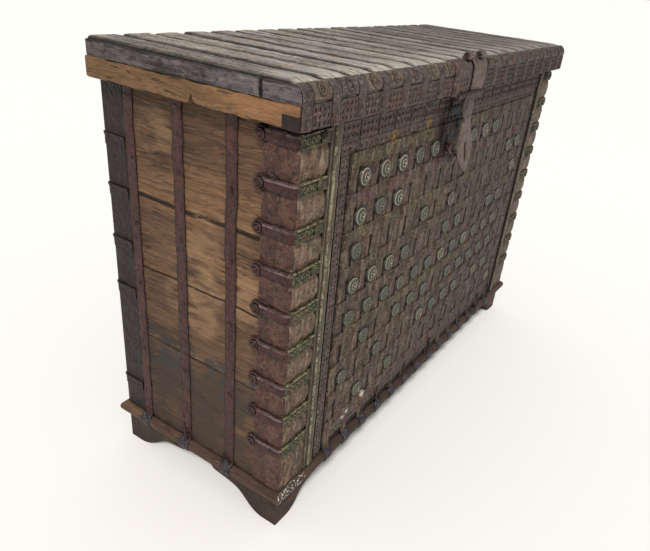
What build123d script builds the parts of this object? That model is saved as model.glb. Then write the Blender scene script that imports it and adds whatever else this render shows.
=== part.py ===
from build123d import *
import os

# Damchiya chest: a teak dowry chest on bracket feet, strapped and faced with iron, with brass rosettes in a
# lattice on its front, a strapped lid that turns on hinges at the back, and a hanging slotted hasp.
# Millimetres. +X runs to the right along the front, +Y to the back, +Z up. The front lies towards -Y.

# Carcass
BODY_WIDTH = 1358.0
BODY_DEPTH = 475.0
FOOT_HEIGHT = 75.0
RIM_HEIGHT = 890.0
WALL = 28.0
POST = 70.0
POST_ROUND = 4.0
ARRIS = 1.5
END_SEAM_SHARES = (0.331, 0.546, 0.742)
WALL_BOARD_COUNT = 4
FLOOR_BOARD_COUNT = 3
FLOOR_THICKNESS = 20.0
FLOOR_RISE = 15.0

# Bracket feet: lengths along the floor, and the rise of the shaped lower edge
FOOT_BOARD = 28.0
FRONT_FOOT = 164.0
SIDE_FOOT = 205.0
FOOT_PAD = 42.0
FOOT_STEP_RISE = 42.0
FOOT_LIP_RISE = 58.0
FOOT_STEP_SHARE = 0.42
FOOT_LIP_SHARE = 0.1

# Half-round base moulding
MOULDING_RADIUS = 16.5
MOULDING_RISE = 2.0

# Iron and brass on the carcass
SHEET = 2.0
STRAP = 3.0
STRAP_WIDTH = 27.0
CLIP_SIDES = 12
STUD_COLUMNS = 13
STUD_ROWS = 8
TOP_STUD_DROP = 120.0
BOTTOM_STUD_RISE = 104.0
STUD_RADIUS = 20.0
STUD_HEIGHT = 11.0
LATTICE_DROP = 70.0
HEADER_DROP = 5.0
HEADER_HEIGHT = 40.0
HEADER_PLATE_COUNT = 17
HEADER_GAP = 2.0
HEADER_LEDGE = 23.0
PUNCHED_WIDTH = 29.0
PUNCHED_GAP = 3.0
POST_STRIP_WIDTH = 37.0
POST_STRIP = 7.0
POST_STRIP_BEAD = 5.0
POST_STRIP_BEAD_SINK = 1.0
POST_STRIP_GAP = 7.75
PLATE_FRONT = 82.0
PLATE_SIDE = 67.0
BAND_HEIGHT = 25.0
BAND = 6.5
BAND_CHAMFER = 3.0
BAND_COUNT = 9
TOP_BAND_DROP = 20.0
BOTTOM_BAND_RISE = 105.0
BAND_SIDE = 70.0
BAND_END_RADIUS = 15.0
BAND_END_SIDES = 10
RIVET_RADIUS = 11.0
RIVET_HEIGHT = 7.0
BOSS_TAPER = 30.0
ROSETTE_PLATE = 0.35
ROSETTE_HEART = 0.6
ROSETTE_BAND_COUNT = 4
ROSETTE_RADIUS = 13.0
ROSETTE_HEIGHT = 6.0
ROSETTE_INSET = 20.0
END_STRAP_COUNT = 3
END_STRAP_INSET = 71.5
END_STRAP_GAP = 1.0
END_RIVET_RADIUS = 6.0
END_RIVET_HEIGHT = 3.5
END_RIVET_SHARES = (0.826, 0.646, 0.466, 0.243)
BACK_BAND_SHARES = (0.852, 0.717, 0.566, 0.421, 0.093)
BACK_PLATE = 60.0
BACK_BAND = 4.5

# Columns of brass rosettes that are still in place, from the top row down
STUDS_LEFT = (
    (0, 1, 2, 3, 4, 6, 7, 8, 9),
    (0, 1, 2, 11, 12),
    (0, 4, 6, 12),
    (0, 1, 2, 3, 6, 7, 10, 11),
    (0, 1, 2, 3, 4, 5, 6, 7, 8, 9, 10, 11),
    (1, 3, 4, 5, 7, 8, 9, 10, 11),
    (0, 2, 5, 6, 7, 8, 10, 11),
    (1, 3, 12),
)

# Lid
LID_SEAT = 2.0
RAIL_HEIGHT = 38.5
LID_BOARD = 28.0
LID_SHEET = 1.5
LID_FRONT = 20.0
LID_SIDE = 25.0
BATTEN_PROUD = 5.0
LID_ROUND = 16.5
FRONT_RAIL = 54.0
BACK_RAIL = 57.0
END_RAIL = 64.0
LID_SEAM_SHARES = (0.203, 0.46, 0.732)
STRIP_COUNT = 18
STRIP_GAP = 3.0
FACE_PLATE_HEIGHT = 40.0
RIDGE_WIDTH = 24.0
RIDGE_PROUD = 5.0
BLOCK_LENGTH = 32.0
BLOCK_HEIGHT = 16.0

# Lid hinges
HINGE_INSET = 249.0
HINGE_LEAF = 3.0
HINGE_WIDTH = 60.0
HINGE_DROP = 120.0
HINGE_RISE = 58.0
KNUCKLE_RADIUS = 7.0
HINGE_PIN_RADIUS = 3.5
HINGE_BARREL = 24.0
PIN_CLEARANCE = 0.05
KNUCKLE_CLEARANCE = 0.6
PIN_HEAD = 2.0

# Hasp: two forged straps over the lid's front edge, and a slotted leaf that hangs on a pin between them
HASP_STRAP = 6.0
HASP_STRAP_WIDTH = 69.0
HASP_STRAP_GAP = 4.0
HASP_STRAP_SHIFT = 7.0
HASP_STRAP_REACH = 46.0
SCROLL_RADIUS = 9.0
SCROLL_SEAT = 1.0
SCROLL_WIDTH = 24.0
SCROLL_TILT = 26.0
HASP_BARREL_RADIUS = 7.0
HASP_PIN_RADIUS = 2.5
HASP_DROP = 4.0
LEAF = 4.0
LEAF_HALF_WIDTH = 27.0
LEAF_SHOULDER = 40.0
LEAF_NECK = 20.0
LEAF_WAIST = 56.0
LEAF_BELLY = 44.0
LEAF_BELLY_DROP = 98.0
LEAF_DROP = 175.0
LEAF_LEAN = 17.0
LEAF_TIP_CURL = 5.0
LEAF_BEND_SHARES = ((0.4, 0.35), (0.8, 0.85))
SLOT_WIDTH = 14.0
SLOT_LENGTH = 46.0

# Lock staple: a round eye that the hasp's slot drops over
STAPLE_DROP = 130.0
STAPLE_WIRE = 4.0
STAPLE_RADIUS = 14.0
STAPLE_ROSE_RADIUS = 13.0
STAPLE_ROSE = 3.0

# Worked out
HALF_WIDTH = BODY_WIDTH / 2
HALF_DEPTH = BODY_DEPTH / 2
MOULDING_Z = FOOT_HEIGHT + MOULDING_RISE + MOULDING_RADIUS
MOULDING_TOP = MOULDING_Z + MOULDING_RADIUS
PLATE_FOOT = MOULDING_TOP + STRAP
FLOOR_UNDER = FOOT_HEIGHT + FLOOR_RISE
HEADER_TOP = RIM_HEIGHT - HEADER_DROP
HEADER_FOOT = HEADER_TOP - HEADER_HEIGHT
LATTICE_TOP = RIM_HEIGHT - LATTICE_DROP
TOP_STUD = RIM_HEIGHT - TOP_STUD_DROP
STUD_PITCH_Z = (TOP_STUD - PLATE_FOOT - BOTTOM_STUD_RISE) / (STUD_ROWS - 1)
BAND_PITCH = (RIM_HEIGHT - TOP_BAND_DROP - PLATE_FOOT - BOTTOM_BAND_RISE) / (BAND_COUNT - 1)
PUNCHED_REACH = HALF_WIDTH - PLATE_FRONT - POST_STRIP_WIDTH - POST_STRIP_GAP
LATTICE_HALF = PUNCHED_REACH - PUNCHED_WIDTH - PUNCHED_GAP
STUD_PITCH_X = 2 * (LATTICE_HALF - PUNCHED_GAP - STRAP_WIDTH / 2) / STUD_COLUMNS
LID_UNDER = RIM_HEIGHT + LID_SEAT
LID_DECK = LID_UNDER + RAIL_HEIGHT
LID_TOP = LID_DECK + LID_BOARD
LID_HALF = HALF_WIDTH + LID_SIDE
LID_NOSE = -(HALF_DEPTH + LID_FRONT)
STRIP_PITCH = 2 * LID_HALF / STRIP_COUNT
HINGE_PLACES = (HINGE_INSET - HALF_WIDTH, HALF_WIDTH - HINGE_INSET)
HINGE_Y = HALF_DEPTH + KNUCKLE_RADIUS
HINGE_Z = RIM_HEIGHT + LID_SEAT / 2
HASP_X = -STRIP_PITCH
HASP_PIN_Y = LID_NOSE - LID_SHEET - HASP_BARREL_RADIUS
HASP_PIN_Z = LID_UNDER - HASP_DROP
STAPLE_Z = RIM_HEIGHT - STAPLE_DROP


def block(x, y, z):
    """A box between three (low, high) pairs."""
    centre = [(low + high) / 2 for low, high in (x, y, z)]
    return Pos(*centre) * Box(x[1] - x[0], y[1] - y[0], z[1] - z[0])


def board(x, y, z, grain):
    """A board with its long arrises eased."""
    plain = block(x, y, z)
    return chamfer(plain.edges().filter_by(grain), ARRIS)


def spans(edges):
    """Neighbouring pairs of a list of seams."""
    return list(zip(edges[:-1], edges[1:]))


def even(low, high, count):
    """Evenly spaced seams from low to high."""
    return [low + (high - low) * i / count for i in range(count + 1)]


def shared(low, high, shares):
    """Places between low and high, each a share of the way up."""
    return [low + (high - low) * share for share in shares]


def mirror_x(shape):
    """The same piece at the other end of the chest."""
    return shape.mirror(Plane.YZ)


def mirror_y(shape):
    """The same piece at the other face of the chest."""
    return shape.mirror(Plane.XZ)


def group(pieces):
    """One node that holds several separate solids."""
    return Compound([solid for piece in pieces for solid in piece.solids()])


def across(outline, width):
    """A piece of one side outline, drawn in Y and Z, and of the given width along X about X = 0."""
    return Pos(-width / 2, 0, 0) * extrude(Plane.YZ * outline, amount=width)


def boss(radius, height, sides=8):
    """A hammered rivet head that stands on the origin and points up."""
    return extrude(RegularPolygon(radius, sides), amount=height, taper=BOSS_TAPER)


def rosette(radius, height):
    """A hammered rosette that stands on the origin and points up: a petalled plate with a raised heart."""
    plate = boss(radius, height * ROSETTE_PLATE)
    heart = Pos(0, 0, height * ROSETTE_PLATE) * boss(radius * ROSETTE_HEART, height * (1 - ROSETTE_PLATE), 6)
    return plate + heart


def facing_front(shape, x, y, z):
    """Stands a piece made pointing up so that it points to the front."""
    return Pos(x, y, z) * Rot(90, 0, 0) * shape


def facing_left(shape, x, y, z):
    """Stands a piece made pointing up so that it points to the left end."""
    return Pos(x, y, z) * Rot(0, -90, 0) * shape


# Carcass


def corner_posts():
    """Four posts with a rounded outer corner."""
    x, y = (-HALF_WIDTH, -HALF_WIDTH + POST), (-HALF_DEPTH, -HALF_DEPTH + POST)
    post = block(x, y, (FOOT_HEIGHT, RIM_HEIGHT))
    corner = post.edges().filter_by(Axis.Z).sort_by(lambda e: e.center().X + e.center().Y)[0]
    post = fillet(corner, POST_ROUND)
    pair = [post, mirror_x(post)]
    return group(pair + [mirror_y(p) for p in pair])


def wall_boards(side):
    """The horizontal boards of the front wall (side -1) or the back wall (side 1)."""
    outer, inner = side * HALF_DEPTH, side * (HALF_DEPTH - WALL)
    y = (min(outer, inner), max(outer, inner))
    x = (-HALF_WIDTH + POST, HALF_WIDTH - POST)
    seams = even(FOOT_HEIGHT, RIM_HEIGHT, WALL_BOARD_COUNT)
    return group([board(x, y, z, Axis.X) for z in spans(seams)])


def end_planks():
    """The horizontal planks of the left end wall."""
    x = (-HALF_WIDTH, -HALF_WIDTH + WALL)
    y = (-HALF_DEPTH + POST, HALF_DEPTH - POST)
    seams = [FOOT_HEIGHT, *shared(FOOT_HEIGHT, RIM_HEIGHT, END_SEAM_SHARES), RIM_HEIGHT]
    return group([board(x, y, z, Axis.Y) for z in spans(seams)])


def floor_boards():
    """Floor boards that run the length of the chest between the walls, notched between the posts."""
    x = (-HALF_WIDTH + POST, HALF_WIDTH - POST)
    seams = even(-HALF_DEPTH + WALL, HALF_DEPTH - WALL, FLOOR_BOARD_COUNT)
    z = (FLOOR_UNDER, FLOOR_UNDER + FLOOR_THICKNESS)
    middle = even(-HALF_DEPTH + POST, HALF_DEPTH - POST, 1)
    ends = [((-HALF_WIDTH + WALL, -HALF_WIDTH + POST)), ((HALF_WIDTH - POST, HALF_WIDTH - WALL))]
    boards = [board(x, y, z, Axis.X) for y in spans(seams)]
    return group(boards + [board(e, y, z, Axis.Y) for e in ends for y in spans(middle)])


def foot_outline(length):
    """The outline of a bracket foot board: upright at the corner, flat pad, rising ogee and a lip."""
    step = FOOT_PAD + (length - FOOT_PAD) * FOOT_STEP_SHARE
    lip = length - (length - FOOT_PAD) * FOOT_LIP_SHARE
    rise = [(FOOT_PAD, 0), (step, FOOT_STEP_RISE), (lip, FOOT_LIP_RISE)]
    sole = Spline(*rise, tangents=[(1, 0.15), (1, 0.25)])
    edges = [
        Line((0, FOOT_HEIGHT), (0, 0)),
        Line((0, 0), (FOOT_PAD, 0)),
        sole,
        Line((lip, FOOT_LIP_RISE), (length, FOOT_HEIGHT)),
        Line((length, FOOT_HEIGHT), (0, FOOT_HEIGHT)),
    ]
    return make_face(edges)


def foot():
    """The two boards of the front left foot, mitred at the corner."""
    corner = Pos(-HALF_WIDTH, -HALF_DEPTH, 0)
    front = corner * extrude(Plane.XZ * foot_outline(FRONT_FOOT), amount=-FOOT_BOARD)
    side = corner * extrude(Plane.YZ * foot_outline(SIDE_FOOT), amount=FOOT_BOARD)
    mitre = Plane(origin=(-HALF_WIDTH, -HALF_DEPTH, 0), z_dir=(-1, 1, 0))
    return [split(front, mitre, keep=Keep.BOTTOM), split(side, mitre, keep=Keep.TOP)]


def moulding(length):
    """A half-round bar along X with mitred ends, its flat back on Y = 0 and its round to the front."""
    bar = across(Circle(MOULDING_RADIUS), length + 2 * MOULDING_RADIUS)
    bar = split(bar, Plane.XZ, keep=Keep.TOP)
    for end in (-1, 1):
        mitre = Plane(origin=(end * length / 2, 0, 0), z_dir=(end, 1, 0))
        bar = split(bar, mitre, keep=Keep.BOTTOM)
    return bar


def mouldings():
    """The half-round bars at the front, back, left and right."""
    long_bar, short_bar = moulding(BODY_WIDTH), moulding(BODY_DEPTH)
    return {
        "base_moulding_front": Pos(0, -HALF_DEPTH, MOULDING_Z) * long_bar,
        "base_moulding_back": Pos(0, HALF_DEPTH, MOULDING_Z) * Rot(0, 0, 180) * long_bar,
        "base_moulding_left": Pos(-HALF_WIDTH, 0, MOULDING_Z) * Rot(0, 0, -90) * short_bar,
        "base_moulding_right": Pos(HALF_WIDTH, 0, MOULDING_Z) * Rot(0, 0, 90) * short_bar,
    }


# Iron on the front


def strap(lift, top):
    """An upright strap on its bed in front of Y = 0, with its foot bent over the base moulding."""
    reach = MOULDING_RADIUS + STRAP
    turn = 180 / CLIP_SIDES
    radii = (reach, MOULDING_RADIUS)
    rings = [RegularPolygon(r, CLIP_SIDES, major_radius=False, rotation=turn) for r in radii]
    window = Pos(-reach, 0) * Rectangle(2 * reach, 4 * reach)
    clip = Pos(0, MOULDING_Z) * ((rings[0] - rings[1]) & window)
    flat = Pos(-lift, MOULDING_TOP) * Rectangle(STRAP, top - MOULDING_TOP, align=(Align.MAX, Align.MIN))
    return across(clip + flat, STRAP_WIDTH)


def lattice_rows():
    """Heights of the horizontal straps, half a pitch above and below each row of rosettes."""
    return [TOP_STUD + STUD_PITCH_Z * (0.5 - row) for row in range(STUD_ROWS + 1)]


def stud_x(column):
    """Place of a column of rosettes along the front."""
    return (column - (STUD_COLUMNS - 1) / 2) * STUD_PITCH_X


def lattice_sheet():
    """The iron sheet that backs the lattice."""
    x = (-LATTICE_HALF, LATTICE_HALF)
    return block(x, (-HALF_DEPTH - SHEET, -HALF_DEPTH), (PLATE_FOOT, LATTICE_TOP))


def lattice_uprights():
    """The vertical straps of the lattice."""
    upright = Pos(0, -HALF_DEPTH, 0) * strap(SHEET, LATTICE_TOP)
    return group([Pos(stud_x(i - 0.5), 0, 0) * upright for i in range(STUD_COLUMNS + 1)])


def lattice_crossbars():
    """The horizontal straps of the lattice, which are riveted across the vertical ones."""
    y = (-HALF_DEPTH - SHEET - 2 * STRAP, -HALF_DEPTH - SHEET - STRAP)
    half = STRAP_WIDTH / 2
    return group([block((-LATTICE_HALF, LATTICE_HALF), y, (z - half, z + half)) for z in lattice_rows()])


def stud_rosettes():
    """The brass rosettes that are still in their cells."""
    stud = rosette(STUD_RADIUS, STUD_HEIGHT)
    y = -HALF_DEPTH - SHEET
    places = [(stud_x(c), TOP_STUD - r * STUD_PITCH_Z) for r, row in enumerate(STUDS_LEFT) for c in row]
    return group([facing_front(stud, x, y, z) for x, z in places])


def header_plates():
    """The row of embossed plates under the rim."""
    reach = HALF_WIDTH - PLATE_FRONT
    seams = even(-reach, reach, HEADER_PLATE_COUNT)
    gap = HEADER_GAP / 2
    y = (-HALF_DEPTH - SHEET, -HALF_DEPTH)
    z = (HEADER_FOOT, HEADER_TOP)
    return group([block((a + gap, b - gap), y, z) for a, b in spans(seams)])


def header_ledge():
    """The punched sheet between the header plates and the lattice."""
    x, y = (-PUNCHED_REACH, PUNCHED_REACH), (-HALF_DEPTH - SHEET, -HALF_DEPTH)
    return block(x, y, (HEADER_FOOT - HEADER_LEDGE, HEADER_FOOT))


def punched_strip():
    """The punched strip to the left of the lattice."""
    x = (-PUNCHED_REACH, -PUNCHED_REACH + PUNCHED_WIDTH)
    y = (-HALF_DEPTH - SHEET, -HALF_DEPTH)
    return block(x, y, (PLATE_FOOT, HEADER_FOOT - HEADER_LEDGE))


def post_strip():
    """The raised upright strip beside the left corner plate, with a bead along its inner edge."""
    left = -HALF_WIDTH + PLATE_FRONT
    bead_x = left + POST_STRIP_WIDTH - POST_STRIP_BEAD
    flat = Pos((left + bead_x) / 2, -HALF_DEPTH - POST_STRIP / 2) * Rectangle(bead_x - left, POST_STRIP)
    bead = Pos(bead_x, -HALF_DEPTH - POST_STRIP + POST_STRIP_BEAD_SINK) * Circle(POST_STRIP_BEAD)
    foot_of_bead = Pos(bead_x, -HALF_DEPTH - POST_STRIP / 2) * Rectangle(2 * POST_STRIP_BEAD, POST_STRIP)
    section = flat + bead + foot_of_bead
    return Pos(0, 0, PLATE_FOOT) * extrude(section, amount=HEADER_FOOT - PLATE_FOOT)


# Iron on the corners


def corner_run(offset, front_reach, side_reach):
    """A line that follows the rounded front left corner at an offset from the wood, seen from above."""
    face_x, face_y = -HALF_WIDTH - offset, -HALF_DEPTH - offset
    points = [(-HALF_WIDTH + front_reach, face_y), (face_x, face_y), (face_x, -HALF_DEPTH + side_reach)]
    return FilletPolyline(*points, radius=POST_ROUND + offset)


def corner_sheet(front_reach, side_reach, low, high):
    """An angle of sheet iron round the front left corner."""
    inner = corner_run(0, front_reach, side_reach)
    outer = corner_run(SHEET, front_reach, side_reach)
    section = make_face([inner, Line(inner @ 1, outer @ 1), outer, Line(inner @ 0, outer @ 0)])
    return Pos(0, 0, low) * extrude(section, amount=high - low)


def corner_band(z, front_reach, side_reach, thickness):
    """A forged band round the front left corner."""
    face_x, face_y = -HALF_WIDTH - SHEET, -HALF_DEPTH - SHEET
    front_end, side_end = -HALF_WIDTH + front_reach, -HALF_DEPTH + side_reach
    run = Polyline((front_end, face_y, z), (face_x, face_y, z), (face_x, side_end, z))
    half, edge = BAND_HEIGHT / 2, thickness - BAND_CHAMFER
    upper = [(0, half), (edge, half), (thickness, half - BAND_CHAMFER)]
    lower = [(x, -y) for x, y in reversed(upper)]
    start = Plane(origin=run @ 0, x_dir=(0, -1, 0), z_dir=run % 0)
    section = start * make_face(Polyline(*upper, *lower, close=True))
    return sweep(section, path=run, transition=Transition.RIGHT)


def band_heights():
    """Heights of the corner bands, from the top down."""
    return [RIM_HEIGHT - TOP_BAND_DROP - i * BAND_PITCH for i in range(BAND_COUNT)]


def corner_bands():
    """The bands of the front left corner, each with a round end for its rivet."""
    end = extrude(RegularPolygon(BAND_END_RADIUS, BAND_END_SIDES), amount=BAND)
    x, y = -HALF_WIDTH - SHEET, -HALF_DEPTH + BAND_SIDE
    return [corner_band(z, PLATE_FRONT, BAND_SIDE, BAND) + facing_left(end, x, y, z) for z in band_heights()]


def band_rivets():
    """The round-headed rivets on the side ends of the left front bands."""
    rivet = boss(RIVET_RADIUS, RIVET_HEIGHT)
    x = -HALF_WIDTH - SHEET - BAND
    return [facing_left(rivet, x, -HALF_DEPTH + BAND_SIDE, z) for z in band_heights()]


def band_rosettes():
    """The small rosettes on the front ends of the upper left bands."""
    small = boss(ROSETTE_RADIUS, ROSETTE_HEIGHT)
    x, y = -HALF_WIDTH + PLATE_FRONT - ROSETTE_INSET, -HALF_DEPTH - SHEET - BAND
    return [facing_front(small, x, y, z) for z in band_heights()[:ROSETTE_BAND_COUNT]]


def back_corner_bands():
    """The thinner bands of the back left corner, as wide as its plate."""
    heights = shared(PLATE_FOOT, RIM_HEIGHT, BACK_BAND_SHARES)
    bands = [corner_band(z, BACK_PLATE, BACK_PLATE, BACK_BAND) for z in heights]
    return [mirror_y(b) for b in bands]


# Iron on the ends


def end_strap_places():
    """Places of the end straps, from the front corner plate back to the rear one."""
    first = -HALF_DEPTH + PLATE_SIDE + END_STRAP_INSET
    last = HALF_DEPTH - BACK_PLATE - END_STRAP_GAP - STRAP_WIDTH / 2
    return even(first, last, END_STRAP_COUNT - 1)


def end_straps():
    """The vertical straps of the left end, clipped round the base moulding."""
    one = Rot(0, 0, -90) * strap(0, RIM_HEIGHT)
    return group([Pos(-HALF_WIDTH, y, 0) * one for y in end_strap_places()])


def end_strap_rivets():
    """The rivets of the left end's straps."""
    rivet = boss(END_RIVET_RADIUS, END_RIVET_HEIGHT, 6)
    x = -HALF_WIDTH - STRAP
    heights = shared(PLATE_FOOT, RIM_HEIGHT, END_RIVET_SHARES)
    return [facing_left(rivet, x, y, z) for y in end_strap_places() for z in heights]


# Lid


def lid_boards():
    """The boards of the lid, with a rounded front edge."""
    seams = [LID_NOSE, *shared(LID_NOSE, HALF_DEPTH, LID_SEAM_SHARES), HALF_DEPTH]
    x, z = (-LID_HALF, LID_HALF), (LID_DECK, LID_TOP)
    boards = [board(x, y, z, Axis.X) for y in spans(seams)[1:]]
    nose = block(x, spans(seams)[0], z)
    edge = nose.edges().filter_by(Axis.X).sort_by(lambda e: e.center().Y - e.center().Z)[0]
    return group([fillet(edge, LID_ROUND), *boards])


def lid_end_rail():
    """The batten under the left end of the lid, whose outer face stands proud of the boards."""
    z = (LID_UNDER, LID_DECK)
    rail = block((-LID_HALF, -LID_HALF + END_RAIL), (LID_NOSE + FRONT_RAIL, HALF_DEPTH - BACK_RAIL), z)
    face = block((-LID_HALF - BATTEN_PROUD, -LID_HALF), (-HALF_DEPTH, HALF_DEPTH), z)
    return rail + face - lid_corner_block()


def lid_rails():
    """The rails under the front and the back of the lid."""
    x, z = (-LID_HALF, LID_HALF), (LID_UNDER, LID_DECK)
    return {
        "lid_front_rail": board(x, (LID_NOSE, LID_NOSE + FRONT_RAIL), z, Axis.X),
        "lid_back_rail": board(x, (HALF_DEPTH - BACK_RAIL, HALF_DEPTH), z, Axis.X),
    }


def lid_corner_block():
    """The iron shoe on the front end of the left batten."""
    x = (-LID_HALF - BATTEN_PROUD, -LID_HALF)
    return block(x, (-HALF_DEPTH, -HALF_DEPTH + BLOCK_LENGTH), (LID_UNDER, LID_DECK - BLOCK_HEIGHT))


def nose_face(inner, outer, back, low):
    """Side outline of sheet or strap that lies on the lid and is turned down over its front edge."""
    faces = []
    for offset in (inner, outer):
        height = LID_TOP + offset - LID_UNDER + LID_ROUND
        width = back - LID_NOSE + offset + LID_ROUND
        slab = Rectangle(width, height, align=(Align.MIN, Align.MAX))
        slab = Pos(LID_NOSE - offset, LID_TOP + offset) * slab
        corner = slab.vertices().sort_by(lambda v: v.X - v.Y)[0]
        faces.append(fillet(corner, LID_ROUND + offset))
    window = Pos(LID_NOSE - outer, low) * Rectangle(
        back - LID_NOSE + outer, LID_TOP + outer - low, align=(Align.MIN, Align.MIN)
    )
    return (faces[1] - faces[0]) & window


def lid_strips():
    """The iron strips that cover the lid from back to front."""
    width = STRIP_PITCH - STRIP_GAP
    strip = across(nose_face(0, LID_SHEET, HALF_DEPTH, LID_UNDER), width)
    return group([Pos((i - (STRIP_COUNT - 1) / 2) * STRIP_PITCH, 0, 0) * strip for i in range(STRIP_COUNT)])


def strip_edges():
    """The left edge of each lid strip."""
    return [(i - STRIP_COUNT / 2) * STRIP_PITCH + STRIP_GAP / 2 for i in range(STRIP_COUNT)]


def clear_of_hasp(left):
    """Whether the lid strip that starts here is free of the hasp's two straps."""
    return abs(left + STRIP_PITCH / 2 - HASP_X) > STRIP_PITCH


def lid_face_plates():
    """The embossed plates low on the front edge of the lid, one on each strip that the hasp leaves free."""
    y = (LID_NOSE - LID_SHEET - SHEET, LID_NOSE - LID_SHEET)
    z = (LID_UNDER, LID_UNDER + FACE_PLATE_HEIGHT)
    reach = STRIP_PITCH - STRIP_GAP
    return group([block((x + RIDGE_WIDTH, x + reach), y, z) for x in strip_edges() if clear_of_hasp(x)])


def lid_ridges():
    """The half-round ridges down the left side of each strip on the lid's front edge."""
    ends = ((-RIDGE_WIDTH / 2, 0), (RIDGE_WIDTH / 2, 0))
    section = make_face([ThreePointArc(ends[0], (0, -RIDGE_PROUD), ends[1]), Line(*ends)])
    ridge = extrude(section, amount=LID_TOP - LID_ROUND - LID_UNDER)
    y = LID_NOSE - LID_SHEET
    return group([Pos(x + RIDGE_WIDTH / 2, y, LID_UNDER) * ridge for x in strip_edges() if clear_of_hasp(x)])


# Hinges


def knuckle(radius, length):
    """A barrel along X, centred on the origin."""
    return Rot(0, 90, 0) * Cylinder(radius, length)


def hinge_leaves():
    """One hinge at the origin of X: the leaf on the wall, the leaf on the lid and the pin."""
    half, inner = HINGE_WIDTH / 2, HINGE_BARREL / 2
    axis = Pos(0, HINGE_Y, HINGE_Z)
    y = (HALF_DEPTH, HALF_DEPTH + HINGE_LEAF)
    bore = axis * knuckle(HINGE_PIN_RADIUS + PIN_CLEARANCE, 2 * HINGE_WIDTH)
    swing = KNUCKLE_RADIUS + KNUCKLE_CLEARANCE
    notch = inner + KNUCKLE_CLEARANCE
    depth = (HALF_DEPTH, HALF_DEPTH + 2 * swing)
    middle = block((-notch, notch), depth, (HINGE_Z - swing, HINGE_Z + swing))
    lower = block((-half, half), y, (HINGE_Z - HINGE_DROP, HINGE_Z))
    lower = lower + axis * knuckle(KNUCKLE_RADIUS, HINGE_WIDTH) - middle - bore
    upper = block((-half, half), y, (HINGE_Z + swing, HINGE_Z + HINGE_RISE))
    tongue = block((-inner, inner), y, (HINGE_Z, HINGE_Z + swing))
    upper = upper + tongue + axis * knuckle(KNUCKLE_RADIUS, HINGE_BARREL) - bore
    pin = axis * knuckle(HINGE_PIN_RADIUS, HINGE_WIDTH + 2 * PIN_HEAD)
    return lower, upper, pin


# Hasp


def hasp_strap(side):
    """A forged strap over the lid's front edge with a scroll on top and a knuckle below, beside the leaf."""
    x = HASP_X + HASP_STRAP_SHIFT + side * (HASP_STRAP_WIDTH + HASP_STRAP_GAP) / 2
    face = nose_face(LID_SHEET, LID_SHEET + HASP_STRAP, LID_NOSE + HASP_STRAP_REACH, HASP_PIN_Z)
    body = Pos(x, 0, 0) * across(face, HASP_STRAP_WIDTH)
    out = LID_ROUND + LID_SHEET + HASP_STRAP + SCROLL_RADIUS - SCROLL_SEAT
    scroll_x = x + (HASP_STRAP_WIDTH - SCROLL_WIDTH) / 2
    tilt = Pos(scroll_x, LID_NOSE + LID_ROUND, LID_TOP - LID_ROUND) * Rot(SCROLL_TILT, 0, 0)
    scroll = tilt * Pos(0, 0, out) * knuckle(SCROLL_RADIUS, SCROLL_WIDTH)
    near = LEAF_HALF_WIDTH + KNUCKLE_CLEARANCE
    far = side * (x - HASP_X) + HASP_STRAP_WIDTH / 2
    axis = Pos(HASP_X + side * (near + far) / 2, HASP_PIN_Y, HASP_PIN_Z)
    barrel = axis * knuckle(HASP_BARREL_RADIUS, far - near)
    swing = Pos(HASP_X, HASP_PIN_Y, HASP_PIN_Z) * knuckle(HASP_BARREL_RADIUS + KNUCKLE_CLEARANCE, 2 * near)
    bore = Pos(HASP_X, HASP_PIN_Y, HASP_PIN_Z) * knuckle(HASP_PIN_RADIUS + PIN_CLEARANCE, 4 * far)
    return body + scroll + barrel - swing - bore


def hasp_pin():
    """The pin through the two straps and the leaf."""
    reach = 2 * HASP_STRAP_WIDTH + HASP_STRAP_GAP + 2 * PIN_HEAD
    return Pos(HASP_X + HASP_STRAP_SHIFT, HASP_PIN_Y, HASP_PIN_Z) * knuckle(HASP_PIN_RADIUS, reach)


def leaf_outline():
    """The front outline of the leaf: straight shoulders, a short neck, and a pointed oval with a slot."""
    top = HASP_PIN_Z
    neck, belly, tip = top - LEAF_WAIST, top - LEAF_BELLY_DROP, top - LEAF_DROP
    right = [
        Line((0, top), (LEAF_HALF_WIDTH, top)),
        Line((LEAF_HALF_WIDTH, top), (LEAF_HALF_WIDTH, top - LEAF_SHOULDER)),
        Line((LEAF_HALF_WIDTH, top - LEAF_SHOULDER), (LEAF_NECK, neck)),
        Spline((LEAF_NECK, neck), (LEAF_BELLY, belly), (0, tip), tangents=[(0.3, -1), (-1, -0.5)]),
    ]
    half = make_face([*right, Line((0, tip), (0, top))])
    slot = Pos(0, STAPLE_Z) * Rot(0, 0, 90) * SlotOverall(SLOT_LENGTH, SLOT_WIDTH)
    return half + half.mirror(Plane.YZ) - slot


def leaf_side():
    """The side outline of the leaf, which leans forward and curls out at its tip."""
    front, top = HASP_PIN_Y - HASP_BARREL_RADIUS + LEAF, HASP_PIN_Z
    bends = [(front - LEAF_LEAN * out, top - LEAF_DROP * down) for down, out in LEAF_BEND_SHARES]
    places = [(front, top), *bends, (front - LEAF_LEAN - LEAF_TIP_CURL, top - LEAF_DROP)]
    back = Spline(*places)
    face = Spline(*[(y - LEAF, z) for y, z in places])
    return make_face([back, Line(back @ 1, face @ 1), face, Line(back @ 0, face @ 0)])


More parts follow.
